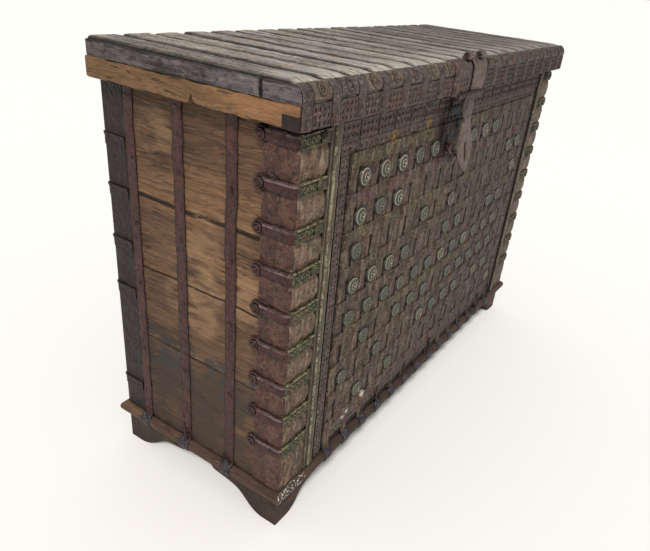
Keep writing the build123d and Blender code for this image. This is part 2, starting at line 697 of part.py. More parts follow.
def hasp_leaf():
    """The slotted leaf with the barrel that it hangs by."""
    deep = 4 * LEAF_LEAN
    outline = Pos(HASP_X, HASP_PIN_Y, 0) * extrude(Plane.XZ * leaf_outline(), amount=deep, both=True)
    plate = Pos(HASP_X, 0, 0) * across(leaf_side(), 4 * LEAF_BELLY)
    axis = Pos(HASP_X, HASP_PIN_Y, HASP_PIN_Z)
    barrel = axis * knuckle(HASP_BARREL_RADIUS, 2 * LEAF_HALF_WIDTH)
    return (outline & plate) + barrel - axis * knuckle(HASP_PIN_RADIUS + PIN_CLEARANCE, 4 * LEAF_HALF_WIDTH)


def lock_staple():
    """The round eye of the lock on its rose."""
    bed = -HALF_DEPTH - SHEET
    ring = revolve(Pos(STAPLE_RADIUS, 0) * RegularPolygon(STAPLE_WIRE, 8), Axis.Y)
    ring = Rot(0, 0, 90) * ring
    eye = Pos(HASP_X, bed - STAPLE_ROSE - STAPLE_RADIUS - STAPLE_WIRE / 2, STAPLE_Z) * ring
    rose = facing_front(boss(STAPLE_ROSE_RADIUS, STAPLE_ROSE), HASP_X, bed, STAPLE_Z)
    return eye + rose


def both_ends(solids):
    """The pieces of the left end and their mirror images at the right end."""
    return group([*solids, *[mirror_x(s) for s in solids]])


def build():
    """Every node of the chest by name."""
    feet = foot()
    back_feet = [mirror_y(f) for f in feet]
    hinges = [[Pos(x, 0, 0) * piece for piece in hinge_leaves()] for x in HINGE_PLACES]
    lower_leaves, upper_leaves, pins = zip(*hinges)
    plate = corner_sheet(PLATE_FRONT, PLATE_SIDE, PLATE_FOOT, RIM_HEIGHT)
    back_plate = mirror_y(corner_sheet(BACK_PLATE, BACK_PLATE, PLATE_FOOT, RIM_HEIGHT))
    bands = corner_bands()
    nodes = {
        "corner_posts": corner_posts(),
        "front_wall_boards": wall_boards(-1),
        "back_wall_boards": wall_boards(1),
        "end_planks_left": end_planks(),
        "end_planks_right": mirror_x(end_planks()),
        "floor_boards": floor_boards(),
        "foot_front_left": group(feet),
        "foot_front_right": group([mirror_x(f) for f in feet]),
        "foot_back_left": group(back_feet),
        "foot_back_right": group([mirror_x(f) for f in back_feet]),
        **mouldings(),
        "lattice_sheet": lattice_sheet(),
        "lattice_uprights": lattice_uprights(),
        "lattice_crossbars": lattice_crossbars(),
        "stud_rosettes": stud_rosettes(),
        "header_plates": header_plates(),
        "header_ledge": header_ledge(),
        "punched_strips": both_ends([punched_strip()]),
        "post_strips": both_ends([post_strip()]),
        "corner_plates_front": both_ends([plate]),
        "corner_plates_back": both_ends([back_plate]),
        "corner_bands_left": group(bands),
        "corner_bands_right": group([mirror_x(b) for b in bands]),
        "band_rivets": both_ends(band_rivets()),
        "band_rosettes": both_ends(band_rosettes()),
        "corner_bands_back": both_ends(back_corner_bands()),
        "end_straps_left": end_straps(),
        "end_straps_right": mirror_x(end_straps()),
        "end_strap_rivets": both_ends(end_strap_rivets()),
        "hinge_wall_leaves": group(lower_leaves),
        "hinge_pins": group(pins),
        "lock_staple": lock_staple(),
        "lid_boards": lid_boards(),
        **lid_rails(),
        "lid_end_rail_left": lid_end_rail(),
        "lid_end_rail_right": mirror_x(lid_end_rail()),
        "lid_corner_blocks": both_ends([lid_corner_block()]),
        "lid_strips": lid_strips(),
        "lid_face_plates": lid_face_plates(),
        "lid_ridges": lid_ridges(),
        "hinge_lid_leaves": group(upper_leaves),
        "hasp_straps": group([hasp_strap(-1), hasp_strap(1)]),
        "hasp_pin": hasp_pin(),
        "hasp_leaf": hasp_leaf(),
    }
    return nodes


def centred(nodes):
    """Moves the chest so that its origin lies on the floor under the middle of its overall box."""
    box = group(nodes.values()).bounding_box()
    middle = box.center()
    return {name: Pos(-middle.X, -middle.Y, -box.min.Z) * node for name, node in nodes.items()}


os.makedirs("parts", exist_ok=True)
for name, node in centred(build()).items():
    export_step(node, f"parts/{name}.step")
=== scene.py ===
"""Dresses the damchiya chest: old teak, forged and embossed iron, patinated brass, the camera and the light."""

import logging
import math
import random
from dataclasses import dataclass, field, replace
from enum import Enum
from typing import Callable, Sequence

import bmesh
import bpy
from mathutils import Matrix, Vector, noise


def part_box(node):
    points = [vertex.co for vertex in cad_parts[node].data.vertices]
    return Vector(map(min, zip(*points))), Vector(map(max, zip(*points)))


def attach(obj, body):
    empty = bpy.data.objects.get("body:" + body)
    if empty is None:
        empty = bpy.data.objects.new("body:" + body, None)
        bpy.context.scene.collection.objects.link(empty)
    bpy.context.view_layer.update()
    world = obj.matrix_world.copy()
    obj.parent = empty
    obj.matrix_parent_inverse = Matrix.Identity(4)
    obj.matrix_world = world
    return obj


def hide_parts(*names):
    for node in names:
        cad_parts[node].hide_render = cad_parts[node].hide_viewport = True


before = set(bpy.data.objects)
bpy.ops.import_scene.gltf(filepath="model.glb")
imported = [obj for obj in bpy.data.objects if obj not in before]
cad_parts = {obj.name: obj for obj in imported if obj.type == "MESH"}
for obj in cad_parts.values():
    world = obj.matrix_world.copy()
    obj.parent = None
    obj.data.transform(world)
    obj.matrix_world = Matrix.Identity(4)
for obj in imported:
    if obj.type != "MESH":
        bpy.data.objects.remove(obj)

LOG = logging.getLogger("chest")
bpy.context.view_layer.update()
MM = 0.001
WELD = 1e-6  # Points nearer than this, in metres, are one.

BMesh = bmesh.types.BMesh
Mask = bpy.types.NodeSocket
Colour = tuple[float, float, float, float]
Spot = tuple[float, float, float]
Lift = Callable[[float, float], float]
Place = Callable[[float, float, float], Vector]
Sockets = dict[str | int, object]
Profile = tuple[tuple[float, ...], ...]


# Small tools


def linear(code: str) -> Colour:
    """Turns an sRGB hex colour into the linear values that shaders take.

    Args:
        code: The colour as "#rrggbb".

    Returns:
        Linear red, green and blue, and an alpha of 1.
    """
    channels = [int(code[i : i + 2], 16) / 255 for i in (1, 3, 5)]
    red, green, blue = (c / 12.92 if c <= 0.04045 else ((c + 0.055) / 1.055) ** 2.4 for c in channels)
    return red, green, blue, 1.0


def add(
    tree: bpy.types.NodeTree, kind: str, settings: dict[str, object] | None = None, sockets: Sockets | None = None
) -> bpy.types.Node:
    """Adds one node with its settings, values and links.

    Args:
        tree: The node tree to add to.
        kind: The node's type name.
        settings: Properties of the node by name.
        sockets: Input sockets by name or number, each a value or an output socket to link.

    Returns:
        The new node.
    """
    node = tree.nodes.new(kind)
    for name, value in (settings or {}).items():
        setattr(node, name, value)
    for key, value in (sockets or {}).items():
        if isinstance(value, Mask):
            tree.links.new(value, node.inputs[key])
        else:
            node.inputs[key].default_value = value
    return node


@dataclass(frozen=True)
class Box:
    """The reach of a solid or of a CAD node, in millimetres."""

    low: Vector
    high: Vector

    @property
    def size(self) -> tuple[float, ...]:
        """Width, depth and height."""
        return tuple(high - low for low, high in zip(self.low, self.high))

    @property
    def face(self) -> tuple[float, float, float, float]:
        """Left edge, lower edge, width and height, as seen from the front."""
        return self.low.x, self.low.z, self.size[0], self.size[2]

    @property
    def middle(self) -> Vector:
        """The middle."""
        return (self.low + self.high) / 2


def box_mm(node: str) -> Box:
    """The reach of a CAD node."""
    low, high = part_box(node)
    return Box(Vector(low) / MM, Vector(high) / MM)


def solids_of(node: str) -> list[Box]:
    """Finds the separate solids of a CAD node.

    Args:
        node: The node's name.

    Returns:
        The reach of each solid, from left to right and then upwards.
    """
    bm = bmesh.new()
    bm.from_mesh(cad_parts[node].data)
    bmesh.ops.remove_doubles(bm, verts=bm.verts, dist=WELD)
    seen: set[bmesh.types.BMVert] = set()
    boxes = []
    for first in bm.verts:
        if first in seen:
            continue
        seen.add(first)
        stack, corners = [first], []
        while stack:
            vert = stack.pop()
            corners.append(vert.co / MM)
            fresh = {edge.other_vert(vert) for edge in vert.link_edges} - seen
            seen |= fresh
            stack.extend(fresh)
        low, high = (Vector(pick(c[axis] for c in corners) for axis in range(3)) for pick in (min, max))
        boxes.append(Box(low, high))
    bm.free()
    return sorted(boxes, key=lambda box: (round(box.low.x), round(box.low.z)))


def rough(x: float, y: float, size: float, seed: float = 0.0) -> float:
    """Smooth unevenness between -1 and 1 over a surface, of a given size in millimetres."""
    return noise.noise(Vector((x / size, y / size, seed * 7.31)))


def ease(value: float, low: float, high: float) -> float:
    """Rises smoothly from 0 at low to 1 at high."""
    t = min(1.0, max(0.0, (value - low) / (high - low)))
    return t * t * (3 - 2 * t)


def fade(value: float, low: float, high: float) -> float:
    """Falls smoothly from 1 at low to 0 at high."""
    return 1 - ease(value, low, high)


def about(value: float, middle: float, inner: float, outer: float) -> float:
    """Is 1 within the inner distance of a middle, and falls to 0 at the outer one."""
    return fade(abs(value - middle), inner, outer)


def aside(a: float, width: float) -> float:
    """How far a point lies from the middle line of a strip, up to 1 at its edges."""
    return abs(2 * a / width - 1)


def crowned(a: float, width: float) -> float:
    """How high a crowned strip stands, from 0 at its edges to 1 at its middle line."""
    return 1 - aside(a, width) ** 2


def inset(a: float, b: float, width: float, height: float) -> float:
    """Distance from a point of a plate to the plate's nearest edge."""
    return min(a, b, width - a, height - b)


def row_gap(a: float, b: float, pitch: float, line: float) -> float:
    """Distance to the nearest dot of a row that runs along a at the place b = line."""
    return math.hypot(a % pitch - pitch / 2, b - line)


def dot_gap(a: float, b: float, dots: Sequence[tuple[float, float]], squash: float = 1.0) -> float:
    """Distance to the nearest of some dots, which a squash below 1 makes taller than wide."""
    return min(math.hypot(a - x, (b - y) * squash) for x, y in dots)


def dots_on(
    width: float, height: float, rows: Sequence[float], first: float, pitches: float
) -> list[tuple[float, float]]:
    """Places of the dots on an embossed plate, in four columns.

    Args:
        width: Width of the plate.
        height: Its height.
        rows: Height of each row, as a share of the plate's.
        first: Place of the first column, in pitches.
        pitches: How many pitches the plate is wide.

    Returns:
        The place of each dot on the plate.
    """
    return [(width * (column + first) / pitches, height * row) for column in range(4) for row in rows]


def crater(gap: float) -> float:
    """Height of a dot punched from the front, with its raised rim, at a distance from its middle."""
    return 1.1 * about(gap, 3.7, 0.5, 1.6) - 1.5 * fade(gap, 1.6, 2.9)


def pit_smudge_and_shade(gap: float) -> float:
    """How dark dirt and painted shade make a punched dot, at a distance from its middle."""
    return 0.95 * fade(gap, 2.2, 3.4)


# Finishes


class Coat:
    """Builds one material from its ground colour in layers of wear, dirt, painted light and painted shade, in order.
    """

    def __init__(self, name: str, ground: str, sway: float = 3.0) -> None:
        """Starts a coat.

        Args:
            name: The material's name.
            ground: The ground colour as sRGB hex.
            sway: How far its patterns wander from straight, in millimetres, in bends of about 70 mm.
        """
        self.material = bpy.data.materials.new(name)
        self.material.use_nodes = True
        self.tree = self.material.node_tree
        self.tree.nodes.clear()
        straight = self.node("ShaderNodeTexCoord").outputs["Object"]
        drift = self.node("ShaderNodeTexNoise", None, {"Vector": straight, "Scale": 14.0, "Detail": 2.0})
        centred = self.node(
            "ShaderNodeVectorMath", {"operation": "SUBTRACT"}, {0: drift.outputs["Color"], 1: (0.5, 0.5, 0.5)}
        )
        scaled = self.node(
            "ShaderNodeVectorMath", {"operation": "SCALE"}, {0: centred.outputs[0], "Scale": 4 * sway * MM}
        )
        moved = self.node("ShaderNodeVectorMath", {"operation": "ADD"}, {0: straight, 1: scaled.outputs[0]})
        self.where = moved.outputs[0]
        self.colour: object = linear(ground)
        self.bumps: Sockets = {}

    def node(
        self, kind: str, settings: dict[str, object] | None = None, sockets: Sockets | None = None
    ) -> bpy.types.Node:
        """Adds one node to the coat's tree, as add() does."""
        return add(self.tree, kind, settings, sockets)

    def patches(
        self, size: float, low: float, high: float, stretch: Spot = (1.0, 1.0, 1.0), detail: float = 3.0
    ) -> Mask:
        """A mask of soft patches of a real size.

        Args:
            size: Size of the patches in millimetres.
            low: Value of the noise where the mask starts.
            high: Value of the noise where the mask is full.
            stretch: How many times longer the patches are along X, Y and Z.
            detail: Octaves of finer noise.

        Returns:
            The mask, from 0 to 1.
        """
        scale = [1.0 / s for s in stretch]
        where = self.node("ShaderNodeMapping", {"vector_type": "POINT"}, {0: self.where, "Scale": scale})
        cloud = self.node(
            "ShaderNodeTexNoise",
            None,
            {"Vector": where.outputs[0], "Scale": 1000 / size, "Detail": detail, "Roughness": 0.6},
        )
        return self.between(cloud.outputs["Fac"], low, high)

    def between(self, value: Mask, low: float, high: float) -> Mask:
        """Turns a value into a mask.

        Args:
            value: The value.
            low: Where the mask starts to rise, or where it ends falling if this is above high.
            high: Where the mask is full.

        Returns:
            The mask, from 0 to 1.
        """
        limits = {"From Min": min(low, high), "From Max": max(low, high)}
        ends = {"To Min": float(low > high), "To Max": float(low < high)}
        mapped = self.node(
            "ShaderNodeMapRange", {"interpolation_type": "SMOOTHSTEP"}, {"Value": value, **limits, **ends}
        )
        return mapped.outputs["Result"]

    def both(self, *parts: object) -> Mask:
        """The part of a mask that lies inside all the others, weakened by any number among them."""
        whole, *others = parts
        for part in others:
            whole = self.node("ShaderNodeMath", {"operation": "MULTIPLY"}, {0: whole, 1: part}).outputs[0]
        return whole

    def along(self, axis: str, low: float, high: float) -> Mask:
        """A mask that rises along an axis between two places in millimetres."""
        parts = self.node("ShaderNodeSeparateXYZ", None, {0: self.where})
        return self.between(parts.outputs[axis], low * MM, high * MM)

    def line(self, axis: str, middle: float, half: float) -> Mask:
        """A mask of a wandering line across an axis, by its middle and its half width in millimetres."""
        parts = self.node("ShaderNodeSeparateXYZ", None, {0: self.where})
        gap = self.node("ShaderNodeMath", {"operation": "SUBTRACT"}, {0: parts.outputs[axis], 1: middle * MM})
        off = self.node("ShaderNodeMath", {"operation": "ABSOLUTE"}, {0: gap.outputs[0]})
        return self.between(off.outputs[0], half * MM, half * 0.45 * MM)

    def near(self, place: Spot, reach: float) -> Mask:
        """A mask of a ragged spot round a place, with its reach in millimetres."""
        middle = tuple(value * MM for value in place)
        gap = self.node("ShaderNodeVectorMath", {"operation": "DISTANCE"}, {0: self.where, 1: middle})
        return self.between(gap.outputs["Value"], reach * MM, reach * 0.6 * MM)

    def smudge_and_shade(self) -> Mask:
        """A mask of the dirt and painted shade that the maker of the piece marked in its grooves, pits and gaps."""
        return self.node("ShaderNodeAttribute", {"attribute_name": "smudge_and_shade"}).outputs["Fac"]

    def edges(self, radius: float) -> Mask:
        """A mask of edges and rims that hands and cloths have rubbed, of a reach in millimetres."""
        soft = self.node("ShaderNodeBevel", {"samples": 6}, {"Radius": radius * MM}).outputs["Normal"]
        hard = self.node("ShaderNodeNewGeometry").outputs["Normal"]
        dot = self.node("ShaderNodeVectorMath", {"operation": "DOT_PRODUCT"}, {0: soft, 1: hard})
        return self.between(dot.outputs["Value"], 0.98, 0.78)

    def crevices(self, reach: float, low: float = 0.85, high: float = 0.35) -> Mask:
        """A mask of hollows for dirt and painted shade, from how closed in a point is within a reach in millimetres.
        """
        open_air = self.node("ShaderNodeAmbientOcclusion", {"samples": 10}, {"Distance": reach * MM})
        return self.between(open_air.outputs["AO"], low, high)

    def tint(self, low: float, high: float) -> Mask:
        """A mask from the value that each separate piece carries as its own shade."""
        own = self.node("ShaderNodeAttribute", {"attribute_name": "shade"}).outputs["Fac"]
        return self.between(own, low, high)

    def lay(self, code: str, strength: float, *masks: Mask) -> None:
        """Lays a colour over what is there.

        Args:
            code: The colour as sRGB hex.
            strength: How much of it covers.
            masks: Where it goes: inside all of these.
        """
        amount = self.both(*masks, strength)
        mix = self.node("ShaderNodeMix", {"data_type": "RGBA"}, {0: amount, 6: self.colour, 7: linear(code)})
        self.colour = mix.outputs[2]

    def shade(self, amount: float, *masks: Mask) -> None:
        """Darkens what is there.

        Args:
            amount: How much darker it gets, up to 1 for black.
            masks: Where: inside all of these.
        """
        tone = 1.0 - amount
        mix = self.node(
            "ShaderNodeMix",
            {"data_type": "RGBA", "blend_type": "MULTIPLY"},
            {0: self.both(*masks), 6: self.colour, 7: (tone, tone, tone, 1.0)},
        )
        self.colour = mix.outputs[2]

    def dent(self, height: Mask, depth: float) -> None:
        """Presses a pattern into the surface to a depth in millimetres."""
        bump = self.node(
            "ShaderNodeBump", None, {"Height": height, "Distance": depth * MM, "Strength": 1.0, **self.bumps}
        )
        self.bumps = {"Normal": bump.outputs["Normal"]}

    def finish(self, roughness: float, metallic: float = 0.0, specular: float = 0.5) -> bpy.types.Material:
        """Closes the coat with one shader.

        Args:
            roughness: The shader's roughness.
            metallic: How far the surface is bare metal.
            specular: The shader's specular level.

        Returns:
            The finished material.
        """
        skin = {"Roughness": roughness, "Metallic": metallic, "Specular IOR Level": specular}
        shader = self.node("ShaderNodeBsdfPrincipled", None, {"Base Color": self.colour, **skin, **self.bumps})
        self.node("ShaderNodeOutputMaterial", None, {"Surface": shader.outputs[0]})
        return self.material


class Grain(Enum):
    """Which way a board's grain or an iron's scouring runs, as how much longer its streaks are along X, Y and Z."""

    ALONG_X = (26.0, 1.0, 1.0)
    ALONG_Y = (1.0, 26.0, 1.0)
    ALONG_Z = (1.0, 1.0, 26.0)
    HAMMERED_UP = (1.0, 1.0, 4.0)


# The painted shade on the iron and the paint deepens between two places along X, and on the wood of the ends
# along Y, in millimetres.
DUSK = (-380.0, 420.0)
END_DUSK = (-150.0, 270.0)


@dataclass(frozen=True)
class OldTeak:
    """Old sawn and oiled teak: wandering grain, pale rubbed patches, dark stains, and dirt in every seam.

    Rubbed, stained, streaky and flakes say how strong each layer is, from 0 to 1, and so does the field for the
    painted shade that deepens towards the back. Hollows get dirt and painted shade. Places are in millimetres.
    """

    name: str
    grain: Grain
    ground: str = "#5a4332"
    pale: str = "#866549"
    dark: str = "#251b15"
    grey: str = "#3f3630"
    rubbed: float = 0.75
    stained: float = 0.6
    streaky: float = 0.5
    seams: tuple[float, ...] = ()
    joint: float | None = None
    rubs: tuple[Spot, ...] = ()
    warm: tuple[Spot, ...] = ()
    flakes: float = 0.0
    darker_low: bool = False
    chipped: bool = False
    sway: float = 3.0
    shade_falloff: float = 0.0

    def make(self) -> bpy.types.Material:
        """Makes the material."""
        coat = Coat(self.name, self.ground, self.sway)
        long = self.grain.value
        blurred, drawn, cut = (tuple(s**power for s in long) for power in (0.4, 0.75, 0.7))
        coat.lay(self.pale, self.rubbed, coat.patches(150, 0.4, 0.62, blurred))
        coat.lay(self.dark, self.stained, coat.patches(60, 0.52, 0.68, blurred, 4.0))
        coat.lay(self.grey, 0.4, coat.patches(24, 0.56, 0.7, detail=5.0))
        # The grain, its scratches and its checks are drawn 5 to 6.5 mm wide, as coarse as they need to be to show.
        grain = coat.patches(6.0, 0.46, 0.64, long, 4.0)
        coat.lay(self.dark, self.streaky, grain)
        scratches = coat.patches(5.0, 0.55, 0.66, drawn, 4.0)
        coat.lay(self.pale, 0.6, scratches)
        coat.shade(0.55, coat.patches(5.0, 0.57, 0.65, cut), coat.patches(50, 0.42, 0.55))
        checks = coat.both(coat.patches(6.5, 0.62, 0.67, long, 2.0), coat.patches(70, 0.46, 0.56))
        coat.shade(0.55, checks)
        if self.flakes:
            coat.lay("#7d7871", self.flakes, coat.patches(7.0, 0.54, 0.64, (1, 2, 1), 5.0))
            coat.shade(0.5, coat.patches(9.0, 0.52, 0.62, (1, 2, 1), 5.0))
        for place in self.rubs:
            coat.lay("#8f7255", 0.6, coat.near(place, 60), coat.patches(24, 0.38, 0.6, blurred, 6.0))
        self.open_seams(coat)
        if self.joint is not None:
            self.open_joint(coat, self.joint)
        for place in self.warm:
            coat.lay("#8a6243", 0.6, coat.near(place, 60), coat.patches(26, 0.34, 0.56, blurred, 4.0))
        # Darker towards the bottom, with blue-grey patches about 325 mm up.
        if self.darker_low:
            coat.lay("#3d322b", 0.85, coat.along("Z", 430, 300), coat.patches(80, 0.3, 0.56))
            coat.lay("#34383b", 0.75, coat.line("Z", 325, 70), coat.patches(30, 0.5, 0.6, detail=5.0))
        if self.chipped:
            level = coat.both(coat.along("Z", 84, 87), coat.along("Z", 107, 104))
            corner = coat.both(coat.along("X", -590, -606), coat.along("Y", 0, -20))
            coat.lay("#c9c5bc", 0.9, level, corner, coat.patches(6, 0.53, 0.58, detail=5.0))
        coat.lay(self.pale, 0.4, coat.edges(2.0))
        # Painted shade, deepening towards the back.
        if self.shade_falloff:
            coat.shade(self.shade_falloff, coat.along("Y", *END_DUSK))
        # Dirt and painted shade in the hollows.
        coat.shade(0.85, coat.crevices(22))
        coat.dent(grain, -0.9)
        coat.dent(scratches, 0.4)
        coat.dent(checks, -1.6)
        return coat.finish(0.66, 0.0, 0.22)

    def open_seams(self, coat: Coat) -> None:
        """Opens the seams between boards, with pale splinters above them; the third one is torn widest.

        Args:
            coat: The coat so far.
        """
        for number, height in enumerate(self.seams):
            coat.lay("#8d7050", 0.7, coat.line("Z", height + 7, 8), coat.patches(6, 0.5, 0.6, (1, 7, 1)))
            half = 7 if number == 2 else 3
            torn = coat.both(coat.line("Z", height, half), coat.patches(13, 0.34, 0.46, (1, 5, 1)))
            coat.shade(0.85, torn)
            coat.dent(torn, -2.0)

    def open_joint(self, coat: Coat, joint: float) -> None:
        """Darkens the deck between its ends, paints shade along its top, and splits it beside its joint.

        Args:
            coat: The coat so far.
            joint: Place of the joint along Y, in millimetres.
        """
        inner = coat.both(coat.along("X", -665, -645), coat.along("X", 665, 645))
        coat.lay("#45362b", 0.85, inner)
        coat.lay("#75706a", 0.35, coat.line("Y", joint - 15, 8), coat.patches(12, 0.3, 0.5))
        split = coat.both(coat.line("Y", joint - 22, 4.5), coat.patches(11, 0.32, 0.44))
        coat.shade(0.95, split)
        coat.dent(split, -2.0)
        # Painted shade along the deck's top, which shows as dark gaps between the lid strips.
        coat.shade(0.7, coat.along("Z", 955.0, 957.5))
        coat.shade(0.85, inner, coat.along("Z", 955.0, 957.5))


@dataclass(frozen=True)
class ForgedIron:
    """Hand-forged iron under old paint and soot: a dull skin, rust showing through, rims rubbed to pale metal.

    Wear, specks and scour say how strong each layer is, from 0 to 1, and so do the fields for the dirt and painted
    shade in hollows and for the painted shade that deepens towards the right. Sizes, depths and places are in
    millimetres. The two shades are what pieces with a low and with a high own shade lean to.
    """

    name: str
    ground: str = "#42322f"
    rust: str = "#5a3a2f"
    olive: str = "#4a4433"
    pale: str = "#7d726a"
    dark: str = "#1b1616"
    wear: float = 0.6
    hollow_smudge_and_shade: float = 0.9
    blotch: float = 42.0
    shades: tuple[str, str] | None = None
    roughness: float = 0.52
    metallic: float = 0.1
    pitted: float = 0.6
    specks: float = 0.55
    shadow: Spot | None = None
    scoured: Grain | None = None
    scour: float = 0.75
    dented: float = 2.2
    shade_falloff: float = 0.0
    high: str | None = None
    low: str | None = None
    rubbed_at: float | None = None
    ochre: tuple[Spot, ...] = ()
    chips: tuple[Spot, ...] = ()

    def make(self) -> bpy.types.Material:
        """Makes the material."""
        coat = Coat(self.name, self.ground)
        if self.shades:
            coat.lay(self.shades[0], 0.75, coat.tint(0.35, 0.0))
            coat.lay(self.shades[1], 0.75, coat.tint(0.6, 1.0))
        if self.high:
            coat.lay(self.high, 0.85, coat.along("Z", 920, 945), coat.patches(20, 0.3, 0.5))
        if self.low:
            coat.lay(self.low, 0.75, coat.along("Z", 560, 160))
        coat.lay(self.rust, 0.7, coat.patches(self.blotch, 0.48, 0.62, detail=4.0))
        coat.lay(self.olive, 0.75, coat.patches(self.blotch * 0.8, 0.52, 0.66, detail=5.0))
        coat.shade(0.45, coat.patches(self.blotch * 0.5, 0.5, 0.66, detail=5.0))
        scale = coat.patches(9.0, 0.5, 0.64, detail=5.0)
        coat.lay(self.dark, 0.6, scale)
        coat.lay(self.pale, self.specks, coat.patches(6.0, 0.56, 0.68, detail=5.0))
        if self.scoured:
            long = self.scoured.value
            # Painted light on the lid's top towards its front edge.
            front = coat.both(coat.along("Y", -90, -215), coat.along("Z", 952, 960))
            coat.lay(self.pale, 0.6, front, coat.patches(40, 0.3, 0.46))
            coat.lay(self.pale, self.scour, coat.patches(10.0, 0.5, 0.62, long, 4.0))
            coat.lay(self.dark, self.scour, coat.patches(7.0, 0.52, 0.62, long, 4.0))
        if self.rubbed_at is not None:
            coat.lay("#66493d", 0.45, coat.line("Y", self.rubbed_at, 16), coat.patches(16, 0.42, 0.56, detail=5.0))
        for spot in self.ochre:
            coat.lay("#7d6238", 0.85, coat.near(spot, 17), coat.patches(8, 0.36, 0.5, detail=5.0))
        for spot in self.chips:
            coat.lay("#c9c5ba", 0.9, coat.near(spot, 11), coat.patches(6, 0.42, 0.5, detail=5.0))
        coat.lay(self.pale, self.wear, coat.edges(2.2), coat.patches(12.0, 0.34, 0.5, detail=4.0))
        if self.shadow:
            coat.lay("#1d1110", 0.93, coat.near(self.shadow, 100), coat.patches(40, 0.18, 0.36))
        # Painted shade, deepening towards the right.
        if self.shade_falloff:
            coat.shade(self.shade_falloff, coat.along("X", *DUSK))
        # Dirt and painted shade that the pieces mark on their points, then in the hollows.
        coat.shade(0.9, coat.smudge_and_shade())
        coat.shade(self.hollow_smudge_and_shade, coat.crevices(20))
        coat.dent(scale, -self.pitted)
        coat.dent(coat.patches(16.0, 0.3, 0.7, detail=2.0), self.dented)
        return coat.finish(self.roughness, self.metallic, 0.25)


@dataclass(frozen=True)
class RubbedPaint:
    """Thin oil paint on iron, rubbed through: dark where it is left, pale metal on every rim."""

    name: str
    paint: str = "#2f3a29"
    light: str = "#656c46"
    under: str = "#43352b"
    pale: str = "#8f8c6c"
    left: float = 0.5
    wear: float = 0.8
    streaks: Spot = (1.0, 1.0, 1.0)

    def make(self) -> bpy.types.Material:
        """Makes the material."""
        coat = Coat(self.name, self.under)
        coat.lay(self.paint, 0.9, coat.patches(24, 0.9 - self.left, 1.05 - self.left, self.streaks, 5.0))
        coat.lay(self.light, 0.8, coat.patches(10.0, 0.53, 0.64, self.streaks, 5.0))
        coat.lay("#5b4334", 0.65, coat.patches(60.0, 0.5, 0.64, detail=4.0))
        coat.lay("#191613", 0.75, coat.patches(6.0, 0.54, 0.64, self.streaks, 5.0))
        coat.lay(self.pale, self.wear, coat.edges(2.4), coat.patches(10.0, 0.34, 0.5, detail=4.0))
        # Pale where the paint has gone, and a painted highlight on the bands' upper rims.
        coat.lay(self.pale, 0.75, coat.tint(0.55, 0.95), coat.patches(9.0, 0.44, 0.56, detail=5.0))
        # Painted shade, deepening towards the right.
        coat.shade(0.3, coat.along("X", *DUSK))
        # Dirt and painted shade that the pieces mark on their points, then in the hollows.
        coat.shade(0.85, coat.smudge_and_shade())
        coat.shade(0.88, coat.crevices(16))
        coat.dent(coat.patches(7.0, 0.4, 0.7), 0.9)
        return coat.finish(0.55, 0.0, 0.25)


@dataclass(frozen=True)
class OldBrass:
    """Cast brass gone green-grey: dark verdigris in the grooves, dull pale metal on the rings."""

    name: str

    def make(self) -> bpy.types.Material:
        """Makes the material."""
        coat = Coat(self.name, "#5b5a4c")
        coat.lay("#4c5546", 0.7, coat.patches(16, 0.48, 0.6))
        crests = coat.between(coat.smudge_and_shade(), 0.3, 0.05)
        coat.lay("#7b7c6e", 0.8, crests)
        coat.lay("#c6bfa8", 0.9, crests, coat.tint(0.15, 0.6))
        coat.lay("#34362f", 0.6, coat.patches(5.0, 0.56, 0.68, detail=4.0))
        coat.lay("#24251f", 0.8, coat.smudge_and_shade())
        # Painted shade and dirt in the hollows.
        coat.shade(0.8, coat.crevices(6.0, 0.9, 0.45))
        coat.dent(coat.patches(3.5, 0.4, 0.7), 0.4)
        return coat.finish(0.45, 0.2, 0.4)


# The reach of the carcass's wood, and the section of the moulding that the straps' clips wrap.
WOOD = box_mm("corner_posts")
MOULDING = box_mm("base_moulding_front")
# Warm bright spots on the battens, and pale rubbed ones on the left end (its Y and Z), in millimetres.
WARM = tuple((side * 709.0, y, z) for side in (-1, 1) for y, z in ((-215, 905), (-150, 930)))
RUB_PLACES = ((-5, 640), (12, 575), (-10, 525), (5, 455), (112, 815), (-115, 545), (60, 480))
RUBS = tuple((WOOD.low.x, y, z) for y, z in RUB_PLACES)
# Heights of the open seams between the planks of the ends and between the boards of the front and the back.
PLANK_SEAMS = (345.0, 520.0, 680.0)
BOARD_SEAMS = (279.0, 482.5, 686.0)
# The rear edge of the foremost lid board, where the deck is split.
DECK_JOINT = min(board.high.y for board in solids_of("lid_boards"))
